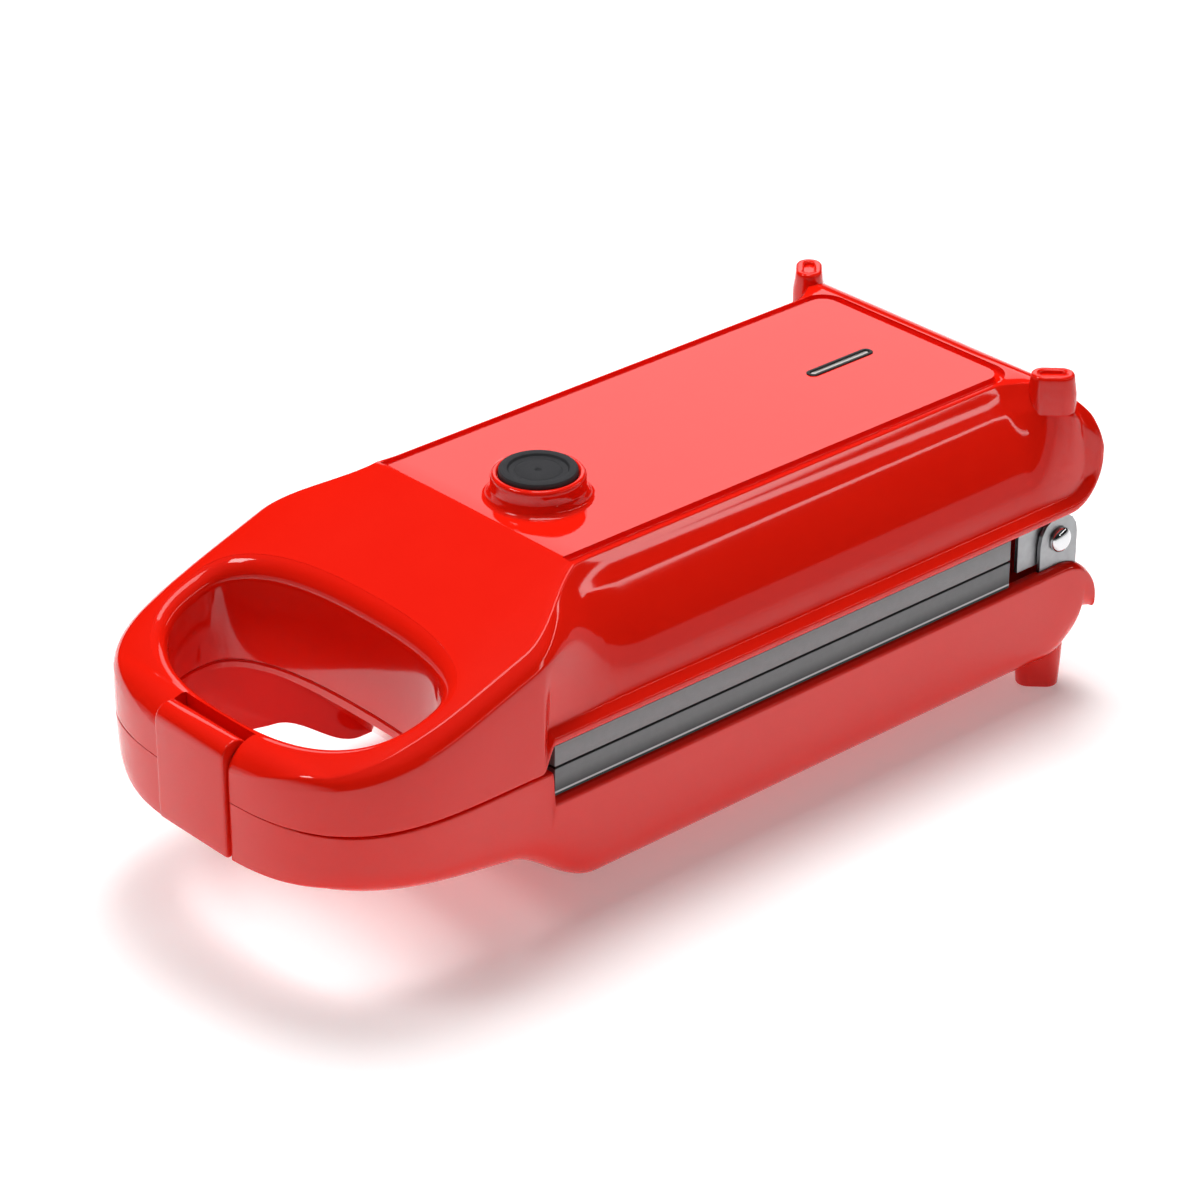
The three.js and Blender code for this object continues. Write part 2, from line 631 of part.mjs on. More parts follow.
// Hole for the clip's pin in the cheeks beside the notch.
function clipPinHole() {
  const reach = CLIP_WIDTH / 2 + CLIP_SIDE_GAP + CLIP_PIN_REACH + GAP;
  return across([-reach, reach], clipPinY(), CLIP_PIN_Z, CLIP_PIN_RADIUS + GAP);
}

// The clip: a flat tongue hung from a rolled top, with a small bead inside its free end.
function clip() {
  const half = CLIP_WIDTH / 2;
  const width = [-half, half];
  const y = clipPinY();
  const roll = across(width, y, CLIP_PIN_Z, CLIP_ROLL_RADIUS, 20);
  const rearY = CLIP_FRONT_Y + CLIP_SHEET;
  const tongue = block(width, [CLIP_FRONT_Y, rearY], [CLIP_FOOT_Z + CLIP_SHEET / 2, CLIP_PIN_Z]);
  const footY = CLIP_FRONT_Y + CLIP_SHEET / 2;
  const foot = across(width, footY, CLIP_FOOT_Z + CLIP_SHEET / 2, CLIP_SHEET / 2, 16);
  const bead = across(width, rearY - CLIP_BEAD / 2, CLIP_FOOT_Z + 2 * CLIP_SHEET, CLIP_BEAD, 12);
  const hole = across([-half - CUT, half + CUT], y, CLIP_PIN_Z, CLIP_PIN_RADIUS + GAP);
  return roll.add(tongue).add(foot).add(bead).subtract(hole);
}

// Height of the base's upper edge at y: on the split in the loop, lower beside the plates, down at the rear.
function baseTop(y) {
  const rim = mix(SPLIT_Z - GAP / 2 - LOOP_BEAD, RIM_Z, ease(y, WINDOW_FRONT_Y - CUT, WINDOW_FRONT_Y));
  const drop = RIM_Z - RIM_UNDER_Z - OVERHANG;
  return rim - drop * (1 - curl(y, REAR_Y - RIM_REAR_CURVE, REAR_Y));
}

// Height of the base's underside at y.
function baseUnder(y) {
  if (y > REAR_Y - OVERHANG) return RIM_UNDER_Z;
  const along = THREE.MathUtils.clamp((BAR_UNDER_REAR_Y - y) / (BAR_UNDER_REAR_Y - BAR_UNDER_FRONT_Y), 0, 1);
  const bar = mix(BAR_UNDER_REAR_Z, BAR_UNDER_FRONT_Z, along);
  const rearY = REAR_Y - OVERHANG;
  const rearRise = (RIM_UNDER_Z - FLOOR_Z - RIM_BEAD) * (1 - curl(y, rearY - TUB_REAR_CURVE, rearY));
  return mix(FLOOR_Z, bar, ease(y, FLOOR_FRONT_Y, BAR_UNDER_REAR_Y)) + rearRise;
}

// Right half of the base's section at y, from the inner top edge round to the underside.
function baseHalf(y) {
  const top = baseTop(y);
  const under = baseUnder(y);
  const share = loopShare(y);
  const bead = mix(LOOP_BEAD, RIM_BEAD, ease(y, WINDOW_FRONT_Y - CUT, WINDOW_FRONT_Y));
  const fit = Math.min(1, (top - under) / (2 * TUB_CURVE_HEIGHT));
  const rim = mix(LOOP_HALF_WIDTH, HALF_WIDTH, ease(y, WINDOW_FRONT_Y - WINDOW_CURVE, WINDOW_FRONT_Y));
  const outer = mix(TUB_HALF_WIDTH, HALF_WIDTH, ease(y, REAR_Y - OVERHANG, REAR_Y - OVERHANG + CUT));
  const curve = [0, 1, 2, 3].map((part) => {
    const turn = (part * Math.PI) / 6;
    const x = outer - TUB_CURVE * fit * (1 - Math.cos(turn));
    return [x * share, under + TUB_CURVE_HEIGHT * fit * (1 - Math.sin(turn))];
  });
  return [[(rim - RIM_BEAD_WIDTH) * share, top + bead], [rim * share, top], ...curve];
}

// The base as a solid, before it is hollowed.
function baseOuter() {
  const frontY = LOOP_CENTRE_Y - LOOP_DEPTH * LOOP_END_SHARE;
  const rearStep = [-CUT, GAP, CUT].map((step) => REAR_Y - OVERHANG + step);
  const curveY = REAR_Y - OVERHANG - TUB_REAR_CURVE;
  const added = [WINDOW_FRONT_Y - CUT, FLOOR_FRONT_Y, curveY, ...rearStep];
  const places = [...stations(frontY, REAR_Y), ...added].sort((a, b) => a - b);
  return loft(places.map((y) => crossRing(y, baseHalf(y))));
}

// Shell of the base, with its half of the loop, the rear feet, the screw bosses and the hinge pillars.
function baseShell() {
  const outer = baseOuter();
  let body = outer.subtract(baseHollow().subtract(handScoop(WALL)));
  body = body.subtract(handCut()).subtract(handScoop(0));
  for (const side of Object.values(SIDES)) {
    body = body.add(onSide(side, oblongPost(FLOOR_Z + TUB_CURVE, 0)));
    body = body.add(onSide(side, basePillar()).intersect(outer));
    body = body.subtract(onSide(side, bracketPocket()));
    const holeZ = [BRACKET_FOOT_Z - BRACKET_SCREW_LENGTH, BRACKET_FOOT_Z + CUT];
    body = body.subtract(onSide(side, bracketHoles(baseBracketSpan(), holeZ)));
  }
  for (const [x, y] of baseScrewPlaces()) {
    body = body.add(upright(x, y, [FLOOR_Z, BASE_BOSS_Z], BOSS_RADIUS));
    body = body.subtract(upright(x, y, [0, BASE_BOSS_Z - BASE_BOSS_FLOOR], SCREW_HEAD_RADIUS + GAP));
    body = body.subtract(upright(x, y, [0, BASE_BOSS_Z + CUT], SCREW_RADIUS + GAP));
  }
  for (const side of Object.values(SIDES)) body = body.subtract(rubberFootSeat(side));
  body = body.subtract(lengthwise([REAR_Y - REAR_WALL - CUT, REAR_Y + CUT], 0, GLAND_Z, GLAND_RADIUS + GAP));
  return body.subtract(baseClipNotch());
}

// Hollow of the base: its own section drawn in by the wall, open above.
function baseHollow() {
  const rim = HALF_WIDTH - LEDGE;
  const ring = (y) => {
    const half = baseHalf(y).map(([x, z], i) => (i < 2 ? [rim, z] : [x - WALL, z + WALL]));
    half[0][1] = SPLIT_Z;
    return crossRing(y, half);
  };
  const curveY = REAR_Y - OVERHANG - TUB_REAR_CURVE;
  return loft([WINDOW_FRONT_Y + CUT, FLOOR_FRONT_Y, curveY, REAR_Y - REAR_WALL].map(ring));
}

// Pillar in the base that a base bracket is screwed to.
function basePillar() {
  const inner = BRACKET_X - BRACKET_FOOT_WIDTH - CUT;
  return block([inner, HALF_WIDTH - LEDGE + CUT], baseBracketSpan(), [FLOOR_Z + CUT, BRACKET_FOOT_Z - GAP]);
}

// Holes for the two screws through a bracket's foot, between two heights.
function bracketHoles(span, heights) {
  const radius = SCREW_RADIUS + GAP;
  const [first, second] = bracketScrewPlaces(span).map(([x, y]) => upright(x, y, heights, radius));
  return first.add(second);
}

// Room for the base bracket in the rim behind the tub's hollow.
function bracketPocket() {
  const x = [BRACKET_X - BRACKET_FOOT_WIDTH - CUT, BRACKET_X + GAP];
  const y = [-1, 1].map((way) => HINGE_Y + way * (BRACKET_HALF_LENGTH + CUT));
  return block(x, y, [BRACKET_FOOT_Z - GAP, SPLIT_Z]);
}

// Notch in the front of the base's half of the loop for the clip's tongue, with finger room behind it.
function baseClipNotch() {
  const half = CLIP_WIDTH / 2 + CLIP_SIDE_GAP;
  const rearY = CLIP_FRONT_Y + CLIP_SHEET + CLIP_RECESS;
  return block([-half, half], [CLIP_FRONT_Y - CUT, rearY], [0, SPLIT_Z + CUT]);
}

// Places of the four screws that hold the lower plate to the base.
function baseScrewPlaces() {
  const rows = [BASE_SCREW_FRONT_Y, BASE_SCREW_REAR_Y];
  return rows.flatMap((y) => [[BASE_SCREW_X, y], [-BASE_SCREW_X, y]]);
}

// Round seat in the tub's floor for a rubber foot.
function rubberFootSeat(side) {
  const seat = [FLOOR_Z - CUT, FLOOR_Z + RUBBER_FOOT_SEAT - WALL / 2];
  return upright(side * RUBBER_FOOT_X, RUBBER_FOOT_Y, seat, RUBBER_FOOT_RADIUS + GAP);
}

// One rubber foot under the front of the tub.
function rubberFoot(side) {
  const top = FLOOR_Z + RUBBER_FOOT_SEAT - WALL / 2 - GAP;
  const radius = RUBBER_FOOT_RADIUS;
  const profile = [[0, 0], [radius - CUT, 0], [radius, CUT], [radius, top], [0, top]];
  return solid(turned(profile, 20).translate(side * RUBBER_FOOT_X, RUBBER_FOOT_Y, 0));
}

// A hot plate lying face up with its face at z = 0: skirt, back and four three cornered pockets.
function hotPlate(skirt) {
  const front = WINDOW_FRONT_Y + CUT + GAP;
  const rear = WINDOW_REAR_Y;
  const body = block([-PLATE_HALF_WIDTH, PLATE_HALF_WIDTH], [front, rear], [-skirt, 0]);
  const inset = [front + PLATE_BACK_INSET, rear - PLATE_BACK_INSET];
  const back = block([-PLATE_BACK_HALF_WIDTH, PLATE_BACK_HALF_WIDTH], inset, [-skirt - PLATE_BACK, -skirt]);
  return pocketCuts(front, rear).reduce((made, cut) => made.subtract(cut), body.add(back));
}

// The four pockets: two slices in line, each split by a ridge from corner to corner.
function pocketCuts(front, rear) {
  const middle = (front + rear) / 2;
  const slices = [
    [front + POCKET_RIM, middle - DIVIDER_WIDTH / 2],
    [middle + DIVIDER_WIDTH / 2, rear - POCKET_RIM],
  ];
  const x = PLATE_HALF_WIDTH - POCKET_RIM;
  return slices.flatMap(([y0, y1]) => {
    const slope = Math.hypot(2 * x, y1 - y0);
    const alongX = (RIDGE_WIDTH * slope) / (2 * (y1 - y0));
    const alongY = (RIDGE_WIDTH * slope) / (4 * x);
    const lower = [[-x + alongX, y0], [x, y0], [x, y1 - alongY]];
    const upper = [[x - alongX, y1], [-x, y1], [-x, y0 + alongY]];
    return [pocket(lower), pocket(upper)];
  });
}

// A three cornered pocket that narrows towards its floor.
function pocket(corners) {
  const centre = corners.reduce((sum, [x, y]) => sum.add(new THREE.Vector2(x, y)), new THREE.Vector2());
  centre.divideScalar(corners.length);
  const reach = Math.min(...corners.map(([x, y]) => centre.distanceTo(new THREE.Vector2(x, y))));
  const ring = (share, z) =>
    corners.map(([x, y]) => new THREE.Vector3(mix(x, centre.x, share), mix(y, centre.y, share), z));
  const taper = (2 * POCKET_TAPER) / reach;
  return loft([ring(taper, -POCKET_DEPTH), ring(0, 0), ring(0, CUT)]);
}

// A heating element: a round tube bent into a U, lying on z = 0.
function heater() {
  const path = new THREE.CurvePath();
  const leg = (x, y0, y1) => new THREE.LineCurve3(new THREE.Vector3(x, y0, 0), new THREE.Vector3(x, y1, 0));
  const bend = [];
  const steps = 12;
  for (let i = 0; i <= steps; i += 1) {
    const turn = (Math.PI * i) / steps;
    const x = HEATER_BEND * Math.cos(turn);
    bend.push(new THREE.Vector3(x, HEATER_BEND_Y - HEATER_BEND * Math.sin(turn), 0));
  }
  path.add(leg(HEATER_BEND, HEATER_END_Y, HEATER_BEND_Y));
  for (let i = 0; i < steps; i += 1) path.add(new THREE.LineCurve3(bend[i], bend[i + 1]));
  path.add(leg(-HEATER_BEND, HEATER_BEND_Y, HEATER_END_Y));
  const circle = new THREE.Shape();
  circle.absarc(0, 0, HEATER_RADIUS, 0, 2 * Math.PI);
  const tube = { steps: 36, curveSegments: 4, bevelEnabled: false, extrudePath: path };
  return solid(new THREE.ExtrudeGeometry(circle, tube));
}

// A heat shield: a shallow steel tray, open towards the plate at z = 0 and hanging below it.
function heatShield(holes) {
  const x = [-SHIELD_HALF_WIDTH, SHIELD_HALF_WIDTH];
  const y = [SHIELD_FRONT_Y, SHIELD_REAR_Y];
  const tray = block(x, y, [-SHIELD_HEIGHT, 0]);
  const inner = block(
    [x[0] + SHIELD_SHEET, x[1] - SHIELD_SHEET],
    [y[0] + SHIELD_SHEET, y[1] - SHIELD_SHEET],
    [-SHIELD_HEIGHT + SHIELD_SHEET, CUT],
  );
  const depth = [-SHIELD_HEIGHT - CUT, CUT];
  const cuts = holes.map(([px, py, radius]) => upright(px, py, depth, radius));
  return cuts.reduce((made, cut) => made.subtract(cut), tray.subtract(inner));
}

// A pan head screw with its head at z = 0 and its shank pointing up.
function screw(length) {
  const profile = [
    [0, -SCREW_HEAD],
    [SCREW_HEAD_RADIUS * SCREW_HEAD_CROWN_SHARE, -SCREW_HEAD],
    [SCREW_HEAD_RADIUS, -SCREW_HEAD / 2],
    [SCREW_HEAD_RADIUS, 0],
    [SCREW_RADIUS, 0],
    [SCREW_RADIUS, length],
    [0, length],
  ];
  return turned(profile, 10);
}

// The bosses behind a plate that take the shield's screws, with the plate's face at z = 0.
function shieldBosses(backZ) {
  const rows = [SHIELD_SCREW_FRONT_Y, SHIELD_SCREW_REAR_Y];
  const low = backZ - SHIELD_HEIGHT + SHIELD_SHEET + GAP;
  return rows.map((y) =>
    upright(0, y, [low, backZ + CUT], BOSS_RADIUS - CUT).subtract(
      upright(0, y, [low - CUT, backZ], SCREW_RADIUS + GAP),
    ),
  );
}

// Turns something made for the lower plate over, for the lid: its face looks down at the split.
function turnedOver(body) {
  return body.mirror([0, 0, 1]);
}

// Everything that heats: plates, elements, shields and their screws, below and above the split.
function heatAssembly() {
  const shieldHoles = [SHIELD_SCREW_FRONT_Y, SHIELD_SCREW_REAR_Y].map((y) => [0, y, SCREW_RADIUS + GAP]);
  const below = (body) => body.translate([0, 0, SPLIT_Z - GAP / 2]);
  const above = (body) => turnedOver(body).translate([0, 0, SPLIT_Z + GAP / 2]);
  const halves = [
    { name: "lower", skirt: LOWER_SKIRT, place: below },
    { name: "upper", skirt: UPPER_SKIRT, place: above },
  ];
  for (const { name, skirt, place } of halves) {
    const back = -skirt - PLATE_BACK;
    const lower = name === "lower";
    let plate = hotPlate(skirt);
    for (const boss of shieldBosses(back - GAP)) plate = plate.add(boss);
    for (const boss of lower ? lowerPlateBosses(back) : [upperPlateBoss(back)]) plate = plate.add(boss);
    for (const bore of lower ? lowerPlateBores(back) : [upperPlateBore(back)]) plate = plate.subtract(bore);
    const holes = lower ? shieldHoles : [...shieldHoles, [FOOT_X, FOOT_Y, BOSS_RADIUS + CUT]];
    piece(`${name}_plate`, "aluminium", place(plate));
    piece(`${name}_heater`, "steel", place(heater().translate([0, 0, back - GAP - HEATER_RADIUS])));
    piece(`${name}_heat_shield`, "steel", place(heatShield(holes).translate([0, 0, back - GAP])));
    [SHIELD_SCREW_FRONT_Y, SHIELD_SCREW_REAR_Y].forEach((y, i) => {
      const headZ = back - GAP - SHIELD_HEIGHT - GAP;
      const made = solid(screw(SHIELD_HEIGHT).translate(0, y, headZ));
      piece(`${name}_shield_screw_${i + 1}`, "steel", place(made));
    });
  }
}

// Bosses under the lower plate, down to the base's own bosses.
function lowerPlateBosses(back) {
  const low = BASE_BOSS_Z + GAP - SPLIT_Z + GAP / 2;
  return baseScrewPlaces().map(([x, y]) => upright(x, y, [low, back + CUT], BOSS_RADIUS - CUT));
}

// Holes for the base screws in those bosses.
function lowerPlateBores(back) {
  const low = BASE_BOSS_Z - SPLIT_Z;
  return baseScrewPlaces().map(([x, y]) => upright(x, y, [low, back], SCREW_RADIUS + GAP));
}

// Boss over the upper plate, up to the collar's own boss.
function upperPlateBoss(back) {
  const low = SPLIT_Z + GAP / 2 - FOOT_BOSS_Z + GAP;
  return upright(FOOT_X, FOOT_Y, [low, back + CUT], BOSS_RADIUS);
}

// Hole for the screw under the lid's foot.
function upperPlateBore(back) {
  const low = SPLIT_Z - FOOT_BOSS_Z;
  return upright(FOOT_X, FOOT_Y, [low - CUT, back], SCREW_RADIUS + GAP);
}

// Pieces of the circuit that sit in the base.
function electricalPieces() {
  const backZ = SPLIT_Z - GAP / 2 - LOWER_SKIRT - PLATE_BACK;
  const topZ = backZ - GAP;
  const middleY = (SHIELD_SCREW_FRONT_Y + SHIELD_SCREW_REAR_Y) / 2;
  const can = upright(0, middleY, [topZ - THERMOSTAT_HEIGHT, topZ], THERMOSTAT_RADIUS);
  const stem = upright(0, middleY, [topZ - THERMOSTAT_HEIGHT - CUT, topZ], THERMOSTAT_RADIUS / 2);
  piece("thermostat", "steel", can.add(stem));
  const fuseSpan = [FUSE_Y - FUSE_LENGTH / 2, FUSE_Y + FUSE_LENGTH / 2];
  piece("thermal_fuse", "ceramic", lengthwise(fuseSpan, FUSE_X, topZ - FUSE_RADIUS, FUSE_RADIUS, 14));
  const floor = FLOOR_Z + WALL + GAP;
  const wide = TERMINAL_WIDTH / 2;
  let terminal = block(
    [-wide, wide],
    [TERMINAL_Y - TERMINAL_DEPTH / 2, TERMINAL_Y + TERMINAL_DEPTH / 2],
    [floor, floor + TERMINAL_HEIGHT],
  );
  const holeSpan = [TERMINAL_Y - TERMINAL_DEPTH, TERMINAL_Y + TERMINAL_DEPTH];
  for (const x of [-wide / 2, wide / 2]) {
    const hole = lengthwise(holeSpan, x, floor + TERMINAL_HEIGHT / 2, SCREW_HEAD_RADIUS, 16);
    terminal = terminal.subtract(hole);
  }
  piece("terminal_block", "ceramic", terminal);
}

// Bushing in the rear wall that the supply lead leaves through.
function cordGland() {
  const wallY = REAR_Y - REAR_WALL;
  const sleeve = lengthwise([wallY - GLAND_FLANGE, REAR_Y - GLAND_FLANGE], 0, GLAND_Z, GLAND_RADIUS);
  const flange = lengthwise([wallY - GLAND_FLANGE - GAP, wallY - GAP], 0, GLAND_Z, GLAND_FLANGE_RADIUS);
  const bore = lengthwise([wallY - 2 * GLAND_FLANGE, REAR_Y + CUT], 0, GLAND_Z, GLAND_BORE_RADIUS);
  piece("cord_gland", "black", sleeve.add(flange).subtract(bore));
}

// Steel bracket that stands in the base and carries the bolt.
function baseBracket() {
  const x = [BRACKET_X - BRACKET_SHEET, BRACKET_X];
  const y = baseBracketSpan();
  const cheek = block(x, y, [BRACKET_FOOT_Z, HINGE_Z]);
  const eye = across(x, HINGE_Y, HINGE_Z, BRACKET_HALF_LENGTH);
  const footSheet = [BRACKET_FOOT_Z, BRACKET_FOOT_Z + BRACKET_SHEET];
  const foot = block([BRACKET_X - BRACKET_FOOT_WIDTH, BRACKET_X], y, footSheet);
  const hole = across([x[0] - CUT, x[1] + CUT], HINGE_Y, HINGE_Z, BOLT_RADIUS + GAP);
  const holes = bracketHoles(y, [BRACKET_FOOT_Z - CUT, BRACKET_FOOT_Z + 2 * BRACKET_SHEET]);
  return cheek.add(eye).add(foot).subtract(hole).subtract(holes);
}

// Lengths along Y of the base bracket.
function baseBracketSpan() {
  return [HINGE_Y - BRACKET_HALF_LENGTH, HINGE_Y + BRACKET_HALF_LENGTH];
}

// Places of the two screws through a bracket's foot.
function bracketScrewPlaces([y0, y1]) {
  const x = BRACKET_X - BRACKET_FOOT_WIDTH / 2 - BRACKET_SHEET;
  return [[x, y0 + BRACKET_SCREW_INSET], [x, y1 - BRACKET_SCREW_INSET]];
}

// Lengths along Y of the lid bracket's foot.
function lidBracketSpan() {
  return [LID_BRACKET_FRONT_Y, HINGE_Y + BRACKET_HALF_LENGTH / 2];
}

// Steel bracket that hangs from the lid and turns on the bolt.
function lidBracket() {
  const outer = BRACKET_X - BRACKET_SHEET - RUNNING_GAP;
  const x = [outer - BRACKET_SHEET, outer];
  const y = lidBracketSpan();
  const lowZ = HINGE_Z - LID_BRACKET_EYE;
  const cheek = block(x, [y[0], HINGE_Y], [lowZ, LID_BRACKET_Z]);
  const over = block(x, [HINGE_Y - CUT, y[1]], [HINGE_Z, LID_BRACKET_Z]);
  const eye = across(x, HINGE_Y, HINGE_Z, LID_BRACKET_EYE);
  const foot = block([outer - BRACKET_FOOT_WIDTH, outer], y, [LID_BRACKET_Z - BRACKET_SHEET, LID_BRACKET_Z]);
  const hole = across([x[0] - CUT, x[1] + CUT], HINGE_Y, HINGE_Z, BOLT_RADIUS + GAP);
  const holes = bracketHoles(y, [LID_BRACKET_Z - 2 * BRACKET_SHEET, LID_BRACKET_Z + CUT]);
  return cheek.add(over).add(eye).add(foot).subtract(hole).subtract(holes);
}

// Bolt with a domed head outside the brackets.
function hingeBolt() {
  const lidOuter = BRACKET_X - BRACKET_SHEET - RUNNING_GAP;
  const endX = lidOuter - BRACKET_SHEET - GAP - WASHER_SHEET - GAP - NUT_LENGTH - CUT;
  const headX = BRACKET_X + GAP;
  const [crownRadiusShare, crownHeightShare] = BOLT_CROWN_SHARES;
  const profile = [
    [0, endX],
    [BOLT_RADIUS, endX],
    [BOLT_RADIUS, headX],
    [BOLT_HEAD_RADIUS, headX],
    [BOLT_HEAD_RADIUS, headX + BOLT_HEAD * BOLT_EDGE_SHARE],
    [BOLT_HEAD_RADIUS * crownRadiusShare, headX + BOLT_HEAD * crownHeightShare],
    [0, headX + BOLT_HEAD],
  ];
  return solid(turned(profile, 24).rotateY(Math.PI / 2).translate(0, HINGE_Y, HINGE_Z));
}

// Washer and nut on the inner end of a bolt.
function hingeWasher() {
  const x1 = BRACKET_X - 2 * BRACKET_SHEET - RUNNING_GAP - GAP;
  const x = [x1 - WASHER_SHEET, x1];
  const hole = across([x[0] - CUT, x[1] + CUT], HINGE_Y, HINGE_Z, BOLT_RADIUS + GAP);
  return across(x, HINGE_Y, HINGE_Z, WASHER_RADIUS).subtract(hole);
}

function hingeNut() {
  const x1 = BRACKET_X - 2 * BRACKET_SHEET - RUNNING_GAP - 2 * GAP - WASHER_SHEET;
  const x = [x1 - NUT_LENGTH, x1];
  const hole = across([x[0] - CUT, x[1] + CUT], HINGE_Y, HINGE_Z, BOLT_RADIUS + GAP);
  return across(x, HINGE_Y, HINGE_Z, NUT_RADIUS, 6).subtract(hole);
}

// Both hinges, right and left.
function hinges() {
  for (const [name, side] of Object.entries(SIDES)) {
    piece(`base_bracket_${name}`, "steel", onSide(side, baseBracket()));
    piece(`lid_bracket_${name}`, "steel", onSide(side, lidBracket()));
    piece(`hinge_bolt_${name}`, "chrome", onSide(side, hingeBolt()));
    piece(`hinge_washer_${name}`, "steel", onSide(side, hingeWasher()));
    piece(`hinge_nut_${name}`, "steel", onSide(side, hingeNut()));
    const headZ = BRACKET_FOOT_Z + BRACKET_SHEET + GAP;
    const shank = BRACKET_SCREW_LENGTH;
    bracketScrewPlaces(baseBracketSpan()).forEach(([x, y], i) => {
      const made = solid(screw(shank).rotateX(Math.PI).translate(x, y, headZ));
      piece(`base_bracket_screw_${name}_${i + 1}`, "steel", onSide(side, made));
    });
    bracketScrewPlaces(lidBracketSpan()).forEach(([x, y], i) => {
      const made = solid(screw(shank).translate(x, y, LID_BRACKET_Z - BRACKET_SHEET - GAP));
      piece(`lid_bracket_screw_${name}_${i + 1}`, "steel", onSide(side, made));
    });
  }
}

// Rubber foot in the collar: a ring round a shallow dish.
function lidFootRubber() {
  const dish = FOOT_RADIUS - FOOT_RING;
  const profile = [
    [0, COLLAR_FLOOR_Z + GAP],
    [FOOT_RADIUS, COLLAR_FLOOR_Z + GAP],
    [FOOT_RADIUS, FOOT_TOP_Z - GAP],
    [FOOT_RADIUS - GAP, FOOT_TOP_Z],
    [dish + GAP, FOOT_TOP_Z],
    [dish, FOOT_TOP_Z - FOOT_DISH],
    [0, FOOT_TOP_Z - FOOT_DISH],
  ];
  return solid(turned(profile, 32).translate(FOOT_X, FOOT_Y, 0));
}

// Lens in the top panel and the lamp below it.
function indicator() {
  const lensTop = PANEL_Z - LAMP_DROP;
  const lensLow = PANEL_Z - GROOVE_DEPTH - WALL;
  const size = [LAMP_LENGTH - 2 * GAP, LAMP_WIDTH - 2 * GAP];
  piece("indicator_lens", "lens", stadium(0, LAMP_Y, size[0], size[1], [lensLow, lensTop]));
  const reach = LAMP_LENGTH / 3;
  const lamp = lengthwise([LAMP_Y - reach, LAMP_Y + reach], 0, lensLow - GAP - LAMP_RADIUS, LAMP_RADIUS, 14);
  piece("indicator_lamp", "lens", lamp);
}

piece("base_shell", "red", baseShell());
piece("lid_shell", "red", lidShell());
heatAssembly();
electricalPieces();
cordGland();
hinges();
piece("clip", "red", clip());
const pinReach = CLIP_WIDTH / 2 + CLIP_SIDE_GAP + CLIP_PIN_REACH;
piece("clip_pin", "steel", across([-pinReach, pinReach], clipPinY(), CLIP_PIN_Z, CLIP_PIN_RADIUS, 16));
piece("lid_foot", "rubber", lidFootRubber());
const footScrewZ = COLLAR_FLOOR_Z - SCREW_HEAD - GAP;
const footScrew = screw(footScrewZ - FOOT_BOSS_Z + FOOT_BOSS_RADIUS).rotateX(Math.PI);
piece("lid_foot_screw", "steel", solid(footScrew.translate(FOOT_X, FOOT_Y, footScrewZ)));
indicator();
for (const [name, side] of Object.entries(SIDES)) piece(`front_foot_${name}`, "rubber", rubberFoot(side));
baseScrewPlaces().forEach(([x, y], i) => {
  const headZ = BASE_BOSS_Z - BASE_BOSS_FLOOR - GAP;
  const made = screw(2 * BASE_BOSS_FLOOR + BOSS_RADIUS).translate(x, y, headZ);
  piece(`base_screw_${i + 1}`, "steel", solid(made));
});

export default maker;
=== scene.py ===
# %% [markdown]
# # A red sandwich maker
# Two long glossy shells close like a book over a pair of hot plates. The hinge is at the
# rear, a hand loop with a clip is in front, and the lid carries a rubber disc and two posts
# that it rests on when it lies upside down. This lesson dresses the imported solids: each
# step says what a piece is, how it could be made, and why it is made the way it is here.

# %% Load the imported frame
import json

import bpy
import numpy as np
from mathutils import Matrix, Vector


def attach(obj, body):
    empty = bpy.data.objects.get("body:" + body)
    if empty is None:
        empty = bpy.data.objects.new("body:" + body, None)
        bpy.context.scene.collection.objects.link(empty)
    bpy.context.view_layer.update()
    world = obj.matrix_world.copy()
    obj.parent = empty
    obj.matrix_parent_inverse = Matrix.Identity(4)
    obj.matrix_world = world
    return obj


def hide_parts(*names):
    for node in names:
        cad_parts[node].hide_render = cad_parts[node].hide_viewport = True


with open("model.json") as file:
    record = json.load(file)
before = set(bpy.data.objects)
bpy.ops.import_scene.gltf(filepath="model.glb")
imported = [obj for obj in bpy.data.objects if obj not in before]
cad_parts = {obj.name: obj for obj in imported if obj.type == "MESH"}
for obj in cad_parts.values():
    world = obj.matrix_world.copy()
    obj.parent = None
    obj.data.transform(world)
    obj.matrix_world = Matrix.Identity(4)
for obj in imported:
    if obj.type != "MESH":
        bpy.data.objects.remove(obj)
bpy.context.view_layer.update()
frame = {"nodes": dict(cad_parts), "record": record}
solids = frame["nodes"]
MM = 0.001


# %% [markdown]
# ## Surfaces from numbers
# Almost every piece is a skin: rings of points, one ring per place along the piece. Rings
# could be drawn by hand, but worked out as whole arrays they stay smooth and can be tuned
# by the sizes a maker would write on a drawing. Lengths are in millimetres until the mesh
# is filled.

# %% Skins and joins
def mesh_piece(name, points, faces):
    """A mesh object from an array of points in millimetres and a list of faces."""
    mesh = bpy.data.meshes.new(name)
    mesh.from_pydata((np.asarray(points, float).reshape(-1, 3) * MM).tolist(), [], faces)
    mesh.validate()
    made = bpy.data.objects.new(name, mesh)
    bpy.context.scene.collection.objects.link(made)
    return made


def skin(name, rings):
    """A closed skin over rings with shape (places, points, 3): point i of a ring joins point
    i of the next ring, and the first and last rings are filled."""
    rows, count = rings.shape[:2]
    start = np.arange(rows - 1)[:, None] * count + np.arange(count)[None, :]
    after = np.arange(rows - 1)[:, None] * count + (np.arange(count)[None, :] + 1) % count
    quads = np.stack([start, after, after + count, start + count], -1).reshape(-1, 4).tolist()
    quads.append(list(range(count))[::-1])
    quads.append(list(range((rows - 1) * count, rows * count)))
    made = mesh_piece(name, rings, quads)
    turn_outward(made)
    return made


